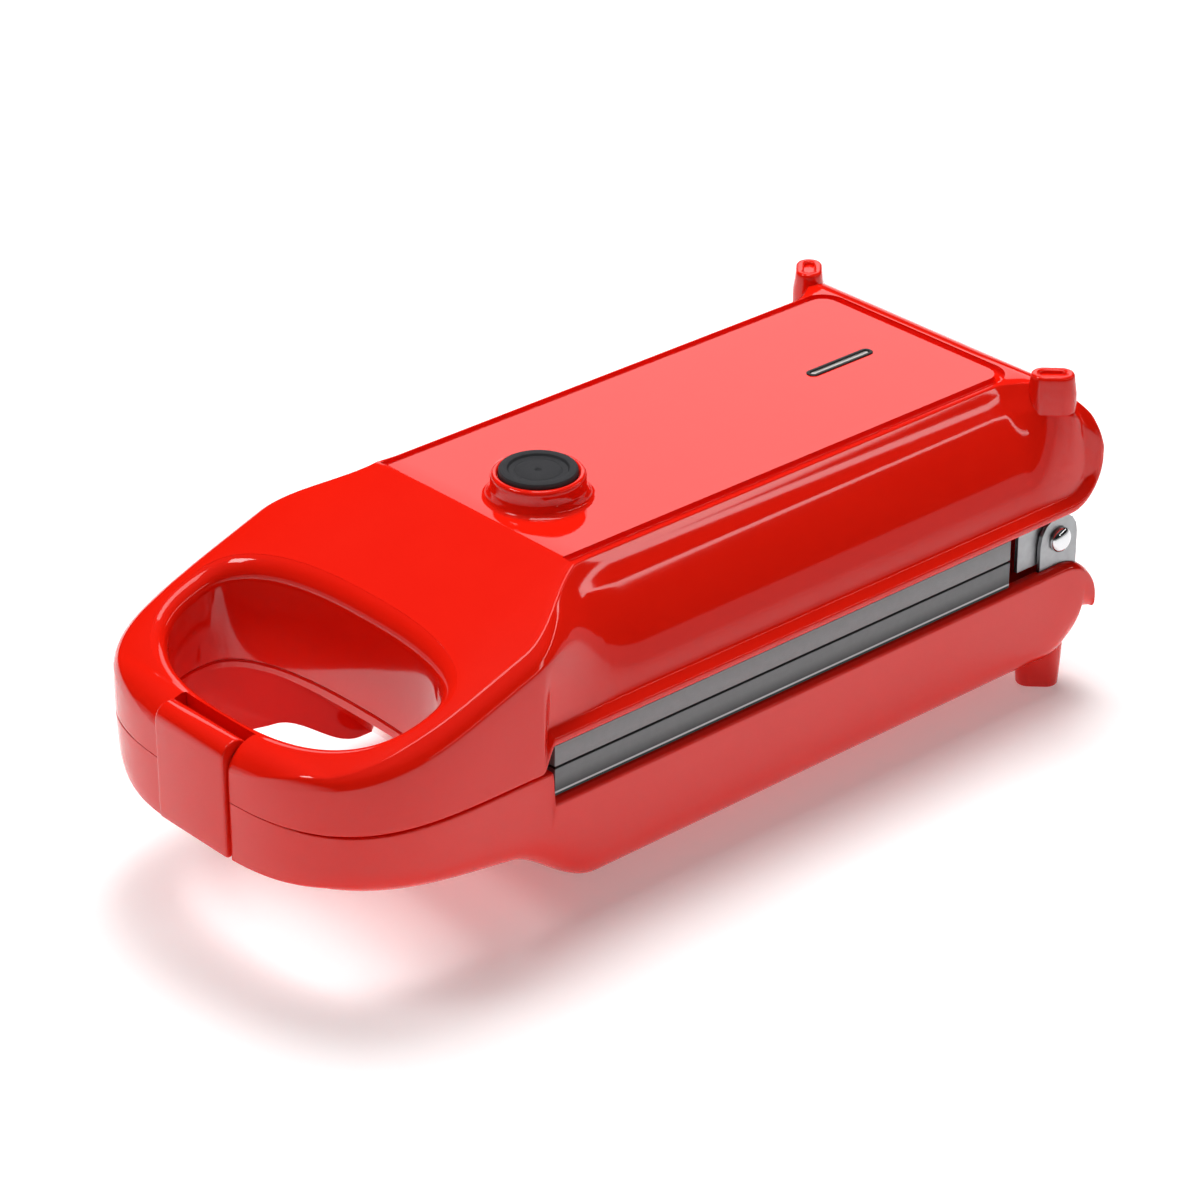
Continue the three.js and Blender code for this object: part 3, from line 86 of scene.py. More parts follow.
def turn_outward(piece):
    """Turns the faces of a closed piece round if the volume that they enclose is negative:
    the sum over its triangles of a . (b x c) / 6."""
    mesh = piece.data
    mesh.calc_loop_triangles()
    points = np.empty(len(mesh.vertices) * 3)
    mesh.vertices.foreach_get("co", points)
    corner = np.empty(len(mesh.loop_triangles) * 3, int)
    mesh.loop_triangles.foreach_get("vertices", corner)
    a, b, c = points.reshape(-1, 3)[corner].reshape(-1, 3, 3).transpose(1, 0, 2)
    if np.einsum("ij,ij->", a, np.cross(b, c)) < 0:
        mesh.flip_normals()


def apply_modifiers(piece):
    """Puts the result of a piece's modifiers into its mesh."""
    shown = piece.evaluated_get(bpy.context.evaluated_depsgraph_get())
    mesh = bpy.data.meshes.new_from_object(shown)
    piece.modifiers.clear()
    piece.data = mesh


def carve(piece, *tools, way="DIFFERENCE"):
    """Cuts the tools out of a piece, or with the way INTERSECT keeps only what lies inside
    them, and removes the tools."""
    for tool in tools:
        cut = piece.modifiers.new("cut", "BOOLEAN")
        cut.operation, cut.solver, cut.object = way, "EXACT", tool
        apply_modifiers(piece)
        bpy.data.objects.remove(tool)
    return piece


def turned(name, profile, centre=(0, 0, 0), axis="Z", sides=96):
    """A turned piece: a profile of (radius, height) swept round an axis, point = centre +
    radius (cos a, sin a) across the axis + height along it. It starts and ends near the axis."""
    profile = np.asarray(profile, float)
    turn = np.linspace(0, 2 * np.pi, sides, endpoint=False)
    radius, height = profile[:, :1], profile[:, 1:]
    across, aside = radius * np.cos(turn), radius * np.sin(turn)
    along = np.broadcast_to(height, across.shape)
    order = {"Z": (across, aside, along), "X": (along, across, aside), "Y": (across, along, aside)}
    return skin(name, np.stack(order[axis], -1) + np.asarray(centre, float))


def rounded(points, reach, steps=6, shares=0.48):
    """Rounds the corners of open outlines with shape (places, points, 2). Corner i becomes
    the curve (1-t)^2 a + 2t(1-t) corner + t^2 b, with a and b at most its reach away, and
    at most its share of the way to the next corner."""
    before, corner, after = points[:, :-2], points[:, 1:-1], points[:, 2:]
    reach = np.asarray(reach, float)[None, :, None]
    shares = np.broadcast_to(shares, reach.shape[1:2])[None, :, None]
    t = np.linspace(0, 1, steps)[None, None, :, None]

    def towards(other):
        """The point at the reach, or at the share, of the way from the corner to another."""
        gap = np.linalg.norm(other - corner, axis=-1, keepdims=True) + 1e-9
        return corner + (other - corner) / gap * np.minimum(reach, gap * shares)

    a, b = towards(before)[:, :, None], towards(after)[:, :, None]
    curve = (1 - t) ** 2 * a + 2 * t * (1 - t) * corner[:, :, None] + t**2 * b
    flat = curve.reshape(len(points), -1, 2)
    return np.concatenate([points[:, :1], flat, points[:, -1:]], axis=1)


def mirrored_rings(y, half):
    """Full rings from right half outlines (x, z) at places y: the left half is the right one
    with x turned round, run backwards."""
    right = np.stack([half[..., 0], np.broadcast_to(y[:, None], half.shape[:2]), half[..., 1]], -1)
    left = right[:, ::-1] * np.array([-1, 1, 1])
    return np.concatenate([right, left], axis=1)


def to_middle(half):
    """Half outlines with one more point, half way from their end to the middle plane."""
    end = np.stack([half[:, -1, 0] * 0.5, half[:, -1, 1]], -1)
    return np.concatenate([half, end[:, None]], 1)


print("helpers ready")

# %% [markdown]
# ## Finishes
# The shells are polished ABS: nearly mirror smooth, but a mould never is perfect, so a
# faint orange peel bends the reflections and the gloss drifts a little from place to place.
# A single flat colour would look like paint in a diagram. One helper lays colour drift,
# gloss drift and fine bump over any base, on Object coordinates, so nothing slides when a
# piece moves.

# %% A finish with drift
FINER, LIFT, COAT_ROUGHNESS = 6, 0.0002, 0.04


def finish(name, colour, deep, gloss, grain, bump, metal=0.0, stretch=(1, 1, 1), coat=0.0):
    """A node material. The colour drifts between colour and deep by noise of a grain per metre.
    A noise FINER times finer moves the roughness from gloss[0] to gloss[1], and lifts the
    surface by a share of LIFT metres, its bump."""
    made = bpy.data.materials.new(name)
    made.use_nodes = True
    tree = made.node_tree
    add, link = tree.nodes.new, tree.links.new
    shader = tree.nodes["Principled BSDF"]
    place, stretched = add("ShaderNodeTexCoord"), add("ShaderNodeMapping")
    stretched.inputs["Scale"].default_value = stretch
    link(place.outputs["Object"], stretched.inputs["Vector"])
    coarse, fine = add("ShaderNodeTexNoise"), add("ShaderNodeTexNoise")
    coarse.inputs["Scale"].default_value = grain
    coarse.inputs["Detail"].default_value = 4
    fine.inputs["Scale"].default_value = grain * FINER
    fine.inputs["Detail"].default_value = 3
    for noise in (coarse, fine):
        link(stretched.outputs["Vector"], noise.inputs["Vector"])
    tint, shine, lift = add("ShaderNodeMix"), add("ShaderNodeMapRange"), add("ShaderNodeBump")
    tint.data_type = "RGBA"
    tint.inputs["A"].default_value = (*colour, 1)
    tint.inputs["B"].default_value = (*deep, 1)
    link(coarse.outputs["Fac"], tint.inputs["Factor"])
    link(tint.outputs["Result"], shader.inputs["Base Color"])
    shine.inputs["To Min"].default_value, shine.inputs["To Max"].default_value = gloss
    link(fine.outputs["Fac"], shine.inputs["Value"])
    link(shine.outputs["Result"], shader.inputs["Roughness"])
    lift.inputs["Strength"].default_value = bump
    lift.inputs["Distance"].default_value = LIFT
    link(fine.outputs["Fac"], lift.inputs["Height"])
    link(lift.outputs["Normal"], shader.inputs["Normal"])
    shader.inputs["Metallic"].default_value = metal
    shader.inputs["Coat Weight"].default_value = coat
    shader.inputs["Coat Roughness"].default_value = COAT_ROUGHNESS
    return made


red_plastic = finish(
    "red_plastic", (0.88, 0.013, 0.004), (0.85, 0.010, 0.003), (0.04, 0.08), grain=60, bump=0.015
)
rubber = finish("rubber", (0.02, 0.02, 0.023), (0.03, 0.03, 0.033), (0.55, 0.75), grain=500, bump=0.35)
black_plastic = finish(
    "black_plastic", (0.012, 0.012, 0.012), (0.02, 0.02, 0.02), (0.35, 0.5), grain=400, bump=0.2
)
zinc_steel = finish(
    "zinc_steel", (0.42, 0.43, 0.44), (0.3, 0.3, 0.31), (0.28, 0.45), metal=1, grain=300, bump=0.1
)
bright_steel = finish(
    "bright_steel", (0.78, 0.79, 0.8), (0.7, 0.7, 0.72), (0.08, 0.16), metal=1, grain=300, bump=0.03
)
sheet_steel = finish(
    "sheet_steel", (0.55, 0.56, 0.57), (0.42, 0.42, 0.43), (0.25, 0.42),
    metal=1, grain=90, stretch=(1, 0.06, 1), bump=0.2,
)
heater_steel = finish(
    "heater_steel", (0.3, 0.27, 0.24), (0.16, 0.13, 0.12), (0.35, 0.6), metal=1, grain=140, bump=0.15
)
ceramic = finish("ceramic", (0.78, 0.74, 0.66), (0.68, 0.63, 0.54), (0.5, 0.7), grain=260, bump=0.2)
milky_lens = finish(
    "milky_lens", (0.86, 0.82, 0.8), (0.8, 0.72, 0.68), (0.06, 0.12), grain=200, bump=0.02, coat=0.6
)
lamp_glass = finish("lamp_glass", (0.85, 0.34, 0.16), (0.75, 0.26, 0.1), (0.08, 0.15), grain=200, bump=0.02)
print("finishes", len(bpy.data.materials))

# %% [markdown]
# The hot plates are cast aluminium with a grey non-stick coat. Seen from the side each shows
# only its skirt, and light and shade are painted on it by height: it is darker towards the
# foot, painted shade makes the foot and the joint between the two nearly black, and on the lower
# plate a painted highlight band just above the foot stands in for a turned back lip catching the light.
# These could be separate strips, but they differ only in tone, so a ramp by height does it.
# The faces that cook are one dark grey, as a used coat is.

# %% Plate coat with painted shade and highlight by height
PLATE_FRONT, PLATE_REAR, PLATE_HALF = -83.7, 133.0, 73.0
PLATE_MIDDLE, PLATE_REACH = (PLATE_FRONT + PLATE_REAR) / 2, (PLATE_REAR - PLATE_FRONT) / 2
SKIRT_FROM, FACE_GREY = 0.995, (0.085, 0.085, 0.088, 1)


def plate_coat_with_painted_light(name, low, high, tones):
    """The coat times a tone. On the skirt, where the larger of |x| / half width and
    |y - middle| / half length is above SKIRT_FROM, the tone depends on the height: tones are
    (share of the way from low to high, grey) pairs of painted shade and painted highlight.
    Everywhere else it is FACE_GREY."""
    made = finish(name, (0.95, 0.95, 0.97), (0.8, 0.8, 0.82), (0.32, 0.5), metal=0.45, grain=420, bump=0.25)
    tree = made.node_tree
    add, link = tree.nodes.new, tree.links.new
    place, split, share = add("ShaderNodeTexCoord"), add("ShaderNodeSeparateXYZ"), add("ShaderNodeMapRange")
    ramp, both = add("ShaderNodeValToRGB"), add("ShaderNodeMix")
    link(place.outputs["Object"], split.inputs["Vector"])
    link(split.outputs["Z"], share.inputs["Value"])
    share.inputs["From Min"].default_value, share.inputs["From Max"].default_value = low * MM, high * MM
    link(share.outputs["Result"], ramp.inputs["Fac"])
    stops = ramp.color_ramp.elements
    for i, (at, grey) in enumerate(tones):
        stop = stops[i] if i < 2 else stops.new(at)
        stop.position = at
        stop.color = (grey, grey, grey, 1)
    both.data_type, both.blend_type = "RGBA", "MULTIPLY"
    both.inputs["Factor"].default_value = 1
    outside = add("ShaderNodeMath")
    outside.operation = "MAXIMUM"
    for i, (axis, middle, reach) in enumerate((("X", 0, PLATE_HALF), ("Y", PLATE_MIDDLE, PLATE_REACH))):
        moved, size, ratio = add("ShaderNodeMath"), add("ShaderNodeMath"), add("ShaderNodeMath")
        moved.operation, size.operation, ratio.operation = "SUBTRACT", "ABSOLUTE", "DIVIDE"
        link(split.outputs[axis], moved.inputs[0])
        moved.inputs[1].default_value = middle * MM
        link(moved.outputs["Value"], size.inputs[0])
        link(size.outputs["Value"], ratio.inputs[0])
        ratio.inputs[1].default_value = reach * MM
        link(ratio.outputs["Value"], outside.inputs[i])
    on_skirt, tone = add("ShaderNodeMath"), add("ShaderNodeMix")
    on_skirt.operation, on_skirt.inputs[1].default_value = "GREATER_THAN", SKIRT_FROM
    link(outside.outputs["Value"], on_skirt.inputs[0])
    tone.data_type = "RGBA"
    link(on_skirt.outputs["Value"], tone.inputs["Factor"])
    tone.inputs["A"].default_value = FACE_GREY
    link(ramp.outputs["Color"], tone.inputs["B"])
    shader = tree.nodes["Principled BSDF"]
    link(shader.inputs["Base Color"].links[0].from_socket, both.inputs["A"])
    link(tone.outputs["Result"], both.inputs["B"])
    link(both.outputs["Result"], shader.inputs["Base Color"])
    return made


print("plate coat ready")

# %% Dress and place a finished piece
def dress(piece, body, material, replaces=(), angle=32):
    """Smooths faces that meet at less than an angle, and gives the piece its body and
    material. The solids that it stands for are named in replaces."""
    piece.data.materials.clear()
    piece.data.materials.append(material)
    piece.data.shade_smooth()
    piece.data.set_sharp_from_angle(angle=np.radians(angle))
    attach(piece, body)
    if replaces:
        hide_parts(*replaces)
    print(piece.name, len(piece.data.polygons), "faces")


# %% [markdown]
# ## The lid
# The lid is one moulding. Seen along its length its section is a panel with a groove, a
# small shoulder, a slightly full wall and a flared hem; towards the front the section
# becomes a round edged bar that closes into the hand loop. It could be sculpted, but the
# change from one section to the other is what gives the reflections their flow, so the
# section's corner points are mixed along the length by eased shares.

# %% Eased shares and the outline of the loop
REAR_Y, SPLIT_Z, GAP, SHELL_WALL = 178.0, 65.0, 0.3, 2.6
LOOP_HALF_WIDTH, LOOP_CENTRE_Y, LOOP_DEPTH, LOOP_POWER = 74.7, -105.2, 71.4, 3.3
PANEL_Z, PANEL_FRONT_Y, PANEL_REAR_Y, HEM_Z = 122.5, -55.4, 157.8, 74.3
WINDOW_FRONT_Y, WINDOW_CURVE = -85.0, 5.0
SLOPE_Y, SLOPE_Z = [-164.0, -126.0, PANEL_FRONT_Y], [86.0, 98.0, PANEL_Z]
NOSE_DROP, REAR_DROP, REAR_LIFT, REAR_LIFT_LENGTH = 12, 24, 18, 15


def ease(value, start, end):
    """3t^2 - 2t^3 of the share t of the way from start to end."""
    t = np.clip((value - start) / (end - start), 0, 1)
    return t * t * (3 - 2 * t)


def curl(value, start, end):
    """A quarter ellipse, sqrt(1 - t^2): 1 and level at start, 0 and upright at end."""
    t = np.clip((value - start) / (end - start), 0, 1)
    return np.sqrt(1 - t * t)


def loop_share(y):
    """Share of the half width left at y: (1 - t^p)^(1/p), a squarish superellipse."""
    t = np.clip((LOOP_CENTRE_Y - y) / LOOP_DEPTH, 0, 1)
    return (1 - t**LOOP_POWER) ** (1 / LOOP_POWER)


def nose_places():
    """Places along the loop's round front, y = centre - depth sin(a)^0.8, closer together
    towards the tip."""
    return LOOP_CENTRE_Y - LOOP_DEPTH * np.sin(np.linspace(np.radians(86.4), 0, 60)) ** 0.8


def lid_top(y):
    """Height of the lid: level panel, straight slope, curled nose and curled rear."""
    rear = PANEL_Z - REAR_DROP * (1 - curl(y, PANEL_REAR_Y, REAR_Y))
    slope = np.interp(y, SLOPE_Y, SLOPE_Z)
    nose = NOSE_DROP * (1 - curl(-y, -SLOPE_Y[0], LOOP_DEPTH - LOOP_CENTRE_Y))
    return np.where(y > PANEL_FRONT_Y, rear, slope - nose)


def lid_foot(y):
    """Height of the lid's lower edge: on the split, up to the hem, and up round the rear."""
    closed = SPLIT_Z + GAP / 2
    hem = closed + (HEM_Z - closed) * ease(y, WINDOW_FRONT_Y - WINDOW_CURVE, WINDOW_FRONT_Y)
    return hem + REAR_LIFT * (1 - curl(y, REAR_Y - REAR_LIFT_LENGTH, REAR_Y))


print("lid heights", lid_top(np.array([-176.0, -126.0, 0.0, 178.0])).round(1))

# %% The lid's section at every place
EDGE_RISE, HEM_RISE, FLARE_RISE = 0.5, 2.7, 3.5
CREASE_DROP, SHOULDER_DROP, LIP_DROP, BAR_ROUND, FULL_HEIGHT = 9.5, 5, 0.6, 9.7, 28.5
# Half widths at the foot, its edge, hem, flare, crease, shoulder, lip and panel.
BODY_WIDTHS = [73.8, 75, 75, 71.5, 56.8, 53.2, 50.2, 45.6]
CORNER_WIDTHS = [73.8, 75, 75, 71.5, 69.5, 65.5, 61.5, 57.5]
RIM_WIDTHS = [73.8, 75, 75, 75, 75, 74, 71, 67]


def lid_half(y):
    """Corner points (x, z) of the right half of the section at each y, mixed from the body,
    the rear corner, the rear frame and the round edged bar of the loop. From below they are
    foot, its edge, hem, flare, full wall, crease, shoulder, lip and panel. Where the lid is
    low, fit makes the upright sizes smaller."""
    top, foot, share = lid_top(y), lid_foot(y), loop_share(y)
    fit = np.minimum(1, (top - foot) / FULL_HEIGHT)
    edge, hem = foot + EDGE_RISE * fit, foot + HEM_RISE * fit
    flare = hem + FLARE_RISE * fit

    def outline(widths, bulge):
        """The corner points for eight half widths, the full wall pushed out by a bulge."""
        wall = np.stack([np.broadcast_to(w, y.shape) for w in widths], 1)
        crease, shoulder, lip = top - CREASE_DROP * fit, top - SHOULDER_DROP * fit, top - LIP_DROP * fit
        heights = [foot, edge, hem, flare, crease, shoulder, lip, top]
        low, high = wall[:, 3], wall[:, 4]
        middle = (low + high) / 2 + bulge * 0.9, (flare + crease) / 2 + bulge * 0.4
        points = np.stack([wall, np.stack(heights, 1)], -1)
        return np.concatenate([points[:, :4], np.stack(middle, -1)[:, None], points[:, 4:]], 1)

    body = outline(BODY_WIDTHS, 3.2 * fit)
    corner = outline(CORNER_WIDTHS, 1.2 * fit)
    rim = outline(RIM_WIDTHS, 0 * fit)
    turn = np.linspace(0, np.pi / 2, 5)
    radius = (BAR_ROUND * fit)[:, None]
    arc_x = (LOOP_HALF_WIDTH - radius * (1 - np.cos(turn))) * share[:, None]
    arc_z = top[:, None] - radius * (1 - np.sin(turn))
    side = np.stack([(LOOP_HALF_WIDTH - 1) * share] + [LOOP_HALF_WIDTH * share] * 3, 1)
    side_z = np.stack([foot, edge, hem, flare], 1)
    bar = np.stack([np.concatenate([side, arc_x], 1), np.concatenate([side_z, arc_z], 1)], -1)

    def mix(a, b, t):
        """a + (b - a) t, place by place."""
        return a + (b - a) * t[:, None, None]

    rear = mix(mix(body, corner, ease(y, 145, 168)), rim, ease(y, REAR_Y - 6, REAR_Y - 1))
    upper = mix(rear, bar, ease(y, -50.0, -92.0))
    lower = mix(rear, bar, 1 - ease(y, WINDOW_FRONT_Y - WINDOW_CURVE, WINDOW_FRONT_Y))
    return np.concatenate([lower[:, :4], upper[:, 4:]], 1)


def lid_places():
    """Places along the length: close together at the nose, the window, the crease and the rear."""
    window = np.linspace(-93, -82, 23)
    crease = PANEL_FRONT_Y + np.array([-0.35, 0.35])
    front, slope, body = np.arange(-103, -94, 3.0), np.arange(-80, -57, 2.0), np.linspace(-48, 145, 34)
    rear = REAR_Y - 33 * (1 - np.sin(np.linspace(0, np.pi / 2, 40)))
    places = np.concatenate([nose_places(), window, crease, front, slope, body, rear])
    return np.unique(places.round(3))


# One reach and one share for each corner between the foot and the panel. The full wall's are
# large, so that its curve takes up nearly the whole way from the flare to the crease.
LID_REACH = [1, 0.8, 3.0, 40, 1.4, 2.2, 0.6]
LID_SHARES = [0.48, 0.48, 0.17, 0.82, 0.17, 0.48, 0.48]
y = lid_places()
half = to_middle(rounded(lid_half(y), LID_REACH, steps=9, shares=LID_SHARES))
lid = skin("lid_moulding", mirrored_rings(y, half))
print("lid skin", len(y), "places of", half.shape[1] * 2, "points")

# %% [markdown]
# The inside, the hand opening, the groove, the lamp slot and the clip's notch are cut from
# the skin. Each tool is again a skin worked out from numbers. The hand opening's tool grows
# outwards at its top along a quarter circle, which leaves the soft rim the fingers feel.

# %% Tools for the lid
HAND_EDGE, HAND_HALF_WIDTH, HAND_POWER = 6.5, 58.5, 0.8
HAND_Y, HAND_FRONT_DEPTH, HAND_REAR_DEPTH = -126.0, 34.5, 20.0
PANEL_WALL, STRIP_Y, NOTCH_HALF = 4.4, 117.8, 18.7


def level(height):
    """A height function that gives the same height at every place."""
    return lambda place: np.full_like(place, height)


def hand_rings(levels, sides=220):
    """Rings of the hand opening for (margin, height function) levels: an egg shaped
    superellipse x = a cos^p, y = c + b sin^p with a deeper front half, p = 2 / 2.5."""
    turn = np.linspace(0, 2 * np.pi, sides, endpoint=False)
    c, s = np.cos(turn), np.sin(turn)
    rings = []
    for margin, height in levels:
        depth = np.where(s < 0, HAND_FRONT_DEPTH, HAND_REAR_DEPTH) + margin
        x = (HAND_HALF_WIDTH + margin) * np.sign(c) * np.abs(c) ** HAND_POWER
        place = HAND_Y + depth * np.sign(s) * np.abs(s) ** HAND_POWER
        rings.append(np.stack([x, place, height(place)], -1))
    return np.stack(rings)


def lid_hand_tool():
    """The hand opening through the lid, with a rim of a quarter circle."""
    levels = [(0.5, level(60)), (0.5, level(65.3)), (0, level(65.8))]
    for turn in np.radians(np.linspace(0, 80, 12)):
        margin, drop = HAND_EDGE * (1 - np.cos(turn)), HAND_EDGE * (1 - np.sin(turn))
        levels.append((margin, lambda place, drop=drop: lid_top(place) - drop))
    levels.append((HAND_EDGE + 1, level(130)))
    return skin("hand_tool", hand_rings(levels))


def lid_hollow_tool():
    """The room inside the lid: the section drawn in by the wall."""
    place = np.linspace(-84, 172.8, 60)
    inner = lid_half(np.minimum(place, 172.0))[:, 1:]
    inner[..., 0] -= SHELL_WALL
    inner[:, 2:, 1] -= PANEL_WALL
    inner[:, 0, 1] = 60
    return skin("hollow_tool", mirrored_rings(place, inner))


def block_tool(x, y, z):
    """A plain block between two values on each axis."""
    ring = np.array([[x[0], y[0]], [x[1], y[0]], [x[1], y[1]], [x[0], y[1]]], float)
    return skin("block_tool", np.stack([np.c_[ring, np.full(4, h)] for h in z]))


def soft_block(name, x, y, z, radius=1.5, edge=0.5, sides=64):
    """A moulded block: rings of a rounded rectangle, centre + half sizes drawn in by the
    radius + radius (cos a, sin a), drawn in a little more at the top and the bottom edge."""
    turn = np.linspace(0, 2 * np.pi, sides, endpoint=False)
    circle = np.stack([np.cos(turn), np.sin(turn)], 1)
    middle = np.array([sum(x) / 2, sum(y) / 2])
    half = np.array([abs(x[1] - x[0]) / 2, abs(y[1] - y[0]) / 2])
    rings = []
    for drawn, height in ((edge, z[0]), (0, z[0] + edge), (0, z[1] - edge), (edge, z[1])):
        ring = middle + (half - radius - drawn) * np.sign(circle) + radius * circle
        rings.append(np.c_[ring, np.full(sides, height)])
    return skin(name, np.stack(rings))


def groove_tool():
    """The groove: a rounded U profile carried along a path with two round rear corners."""
    half_width, radius, straight_to = 47.2, 8, 148.2
    turn = np.linspace(0, np.pi / 2, 14)
    side = np.stack([np.full(2, half_width), [PANEL_FRONT_Y - 0.2, straight_to - 2.2]], 1)
    bend = np.stack([half_width + radius * (np.cos(turn) - 1), straight_to + radius * np.sin(turn)], 1)
    right = np.concatenate([side, bend])
    path = np.concatenate([right, right[::-1] * [-1, 1]])
    along = np.gradient(path, axis=0)
    along /= np.linalg.norm(along, axis=1, keepdims=True)
    across = np.stack([along[:, 1], -along[:, 0]], 1)
    bed = np.radians(np.linspace(180, 360, 9))
    profile = np.r_[np.c_[1.8 * np.cos(bed), -1.6 + 1.2 * np.sin(bed)], [[2.1, 1.5], [-2.1, 1.5]]]
    flat = path[:, None] + across[:, None] * profile[None, :, :1]
    height = np.broadcast_to(PANEL_Z + profile[:, 1], flat.shape[:2])
    return skin("groove_tool", np.concatenate([flat, height[..., None]], -1))


def slot_rings(centre, length, width, levels, sides=64):
    """Rings of a slot with round ends: a circle whose halves are drawn apart along Y."""
    turn = np.linspace(0, 2 * np.pi, sides, endpoint=False)
    rings = []
    for margin, height in levels:
        radius = width / 2 + margin
        place = radius * np.sin(turn) + np.sign(np.sin(turn)) * (length - width) / 2
        rings.append(np.stack([radius * np.cos(turn), centre + place, np.full(sides, height)], -1))
    return np.stack(rings)


lid = carve(
    lid,
    lid_hollow_tool(),
    lid_hand_tool(),
    groove_tool(),
    skin("slot_tool", slot_rings(STRIP_Y, 29.7, 3.2, [(0, 110), (0, 122.1), (0.5, 122.6), (0.6, 125)])),
    block_tool((-NOTCH_HALF, NOTCH_HALF), (-180, -164.3), (73.5, 110)),
    block_tool((-NOTCH_HALF, NOTCH_HALF), (-180, -174.3), (60, 74)),
)
dress(lid, "lid", red_plastic, ["lid_shell"])

# %% [markdown]
# ## Collar, disc and posts
# Upside down the maker rests on a rubber disc and two posts. The collar round the disc is
# turned, with a soft foot where it grows out of the panel and a step half way up. The posts
# are oblong, set slantwise at the rear corners, wider at the foot and dished on top.

# %% The collar and the rubber disc
DISC_CENTRE = (6.0, -31.6, 0.0)
collar = turned(
    "lid_collar",
    [
        (0.3, 121), (19.4, 121), (19.4, 122.5), (18.6, 122.75), (17.9, 123.3), (17.4, 124.1),
        (17.1, 125.2), (16.7, 126.0), (16.5, 126.4), (16.45, 129.6), (16.3, 130.6), (15.8, 131.3),
        (15.1, 131.5), (14.5, 131.4), (14.1, 131.0), (13.9, 130.2), (13.9, 128.6), (0.3, 128.6),
    ],
    DISC_CENTRE,
)
dress(collar, "lid", red_plastic, angle=40)
disc = turned(
    "lid_disc",
    [
        (0.2, 128.9), (13.2, 128.9), (13.6, 129.4), (13.6, 132.3), (13.3, 132.8), (12.7, 133.0),
        (11.2, 133.0), (10.6, 132.8), (10.3, 132.3), (10.1, 132.05), (9.4, 131.95), (8.4, 132.0),
        (8.0, 131.8), (7.6, 132.0), (2.0, 132.05), (1.3, 132.0), (0.9, 131.6), (0.2, 131.4),
    ],
    DISC_CENTRE,
)
dress(disc, "lid", rubber, ["lid_foot"])

# %% The posts and the rear feet
POST_X, POST_Y, POST_RADIUS, POST_STRETCH = 62, 163, 4.9, 3.0
POST_LEVELS = [
    (1.0, 112), (1.0, 116), (0.9, 119), (0.5, 121.5), (0.25, 123), (0.1, 124.8), (-0.15, 125.6),
    (-0.6, 126.1), (-1.2, 126.2), (-2.7, 126.15), (-3.0, 125.8), (-3.1, 124.9), (-4.8, 124.8),
]
REAR_FOOT_LEVELS = [
    (-4.8, 0.0), (-0.9, 0.0), (-0.3, 0.25), (0, 0.9), (0.25, 6), (0.6, 12), (0.9, 18), (1.1, 23),
    (1.1, 26),
]


def oblong(name, side, levels, sides=72):
    """An oblong post at a rear corner: rings of half circles drawn apart along the diagonal,
    one per (margin, height) level, mirrored to the left for side -1."""
    turn = np.linspace(0, 2 * np.pi, sides, endpoint=False)
    rings = []
    for margin, height in levels:
        radius = max(POST_RADIUS + margin, 0.2)
        reach = POST_STRETCH * min(1, radius / 2)
        along = radius * np.cos(turn) + reach * np.sign(np.cos(turn))
        aside = radius * np.sin(turn)
        x = POST_X + (along - aside) * np.sqrt(0.5)
        place = POST_Y + (along + aside) * np.sqrt(0.5)
        rings.append(np.stack([side * x, place, np.full(sides, height)], -1))
    return skin(name, np.stack(rings))


for word, side in (("right", 1), ("left", -1)):
    post = oblong(f"lid_post_{word}", side, POST_LEVELS)
    dress(post, "lid", red_plastic, angle=50)
    foot = oblong(f"rear_foot_{word}", side, REAR_FOOT_LEVELS)
    dress(foot, "base", red_plastic, angle=50)

# %% [markdown]
# ## The lamp slot
# A small lamp shines through one milky strip that lies a little below the panel in a black
# frame. The frame is a slot inside a slot; the strip is crowned so that it catches a long
# highlight.

# %% Frame and strip
BEZEL_LEVELS = [
    (-0.6, 122.4), (0, 122.45), (0, 122.75), (-0.3, 122.95), (-1.1, 122.95), (-1.3, 122.7),
    (-1.3, 121.2), (-2.3, 121.2),
]
STRIP_LEVELS = [(0, 118.2), (0, 122.2), (-0.15, 122.5), (-0.5, 122.7), (-0.9, 122.75), (-1.05, 122.75)]
bezel = skin("indicator_bezel", slot_rings(STRIP_Y, 31.6, 5.0, BEZEL_LEVELS))
dress(bezel, "lid", black_plastic)
strip = skin("indicator_strip", slot_rings(STRIP_Y, 28.4, 1.8, STRIP_LEVELS))
dress(strip, "lid", milky_lens, ["indicator_lens"], angle=60)

# %% [markdown]
# ## The base
# The base is the lid's partner: the same loop in front, then a tub that stands free of the
# table, with a raised bead round its rim and an overhang behind. Its section is simpler,
# so the underside carries the interest: it climbs from the tub's floor to the slim bar.

# %% The base's section
BAR_TOP_Z, TUB_TOP_Z, TUB_FLOOR_Z, OVERHANG_Z = 64.65, 52.3, 11, 31.0
UNDER_Y, UNDER_Z = [-165.0, -100.0], [43.0, 31.0]
RIM_FALL, FLOOR_LIFT, CURVE_WIDTH, CURVE_HEIGHT = 15.3, 18.4, 12, 18


def base_top(y):
    """Height of the base's outer upper edge."""
    rim = BAR_TOP_Z + (TUB_TOP_Z - BAR_TOP_Z) * ease(y, WINDOW_FRONT_Y - 1, WINDOW_FRONT_Y)
    return rim - RIM_FALL * (1 - curl(y, REAR_Y - 18, REAR_Y))


def base_under(y):
    """Height of the underside: tub floor, climbing bar in front, curled rear and overhang."""
    bar = np.interp(y, UNDER_Y, UNDER_Z)
    climb = (bar - TUB_FLOOR_Z) * ease(y, -60.0, -100.0)
    floor = TUB_FLOOR_Z + climb + FLOOR_LIFT * (1 - curl(y, 158.0, 172.0))
    return np.where(y > REAR_Y - 6, OVERHANG_Z, floor)


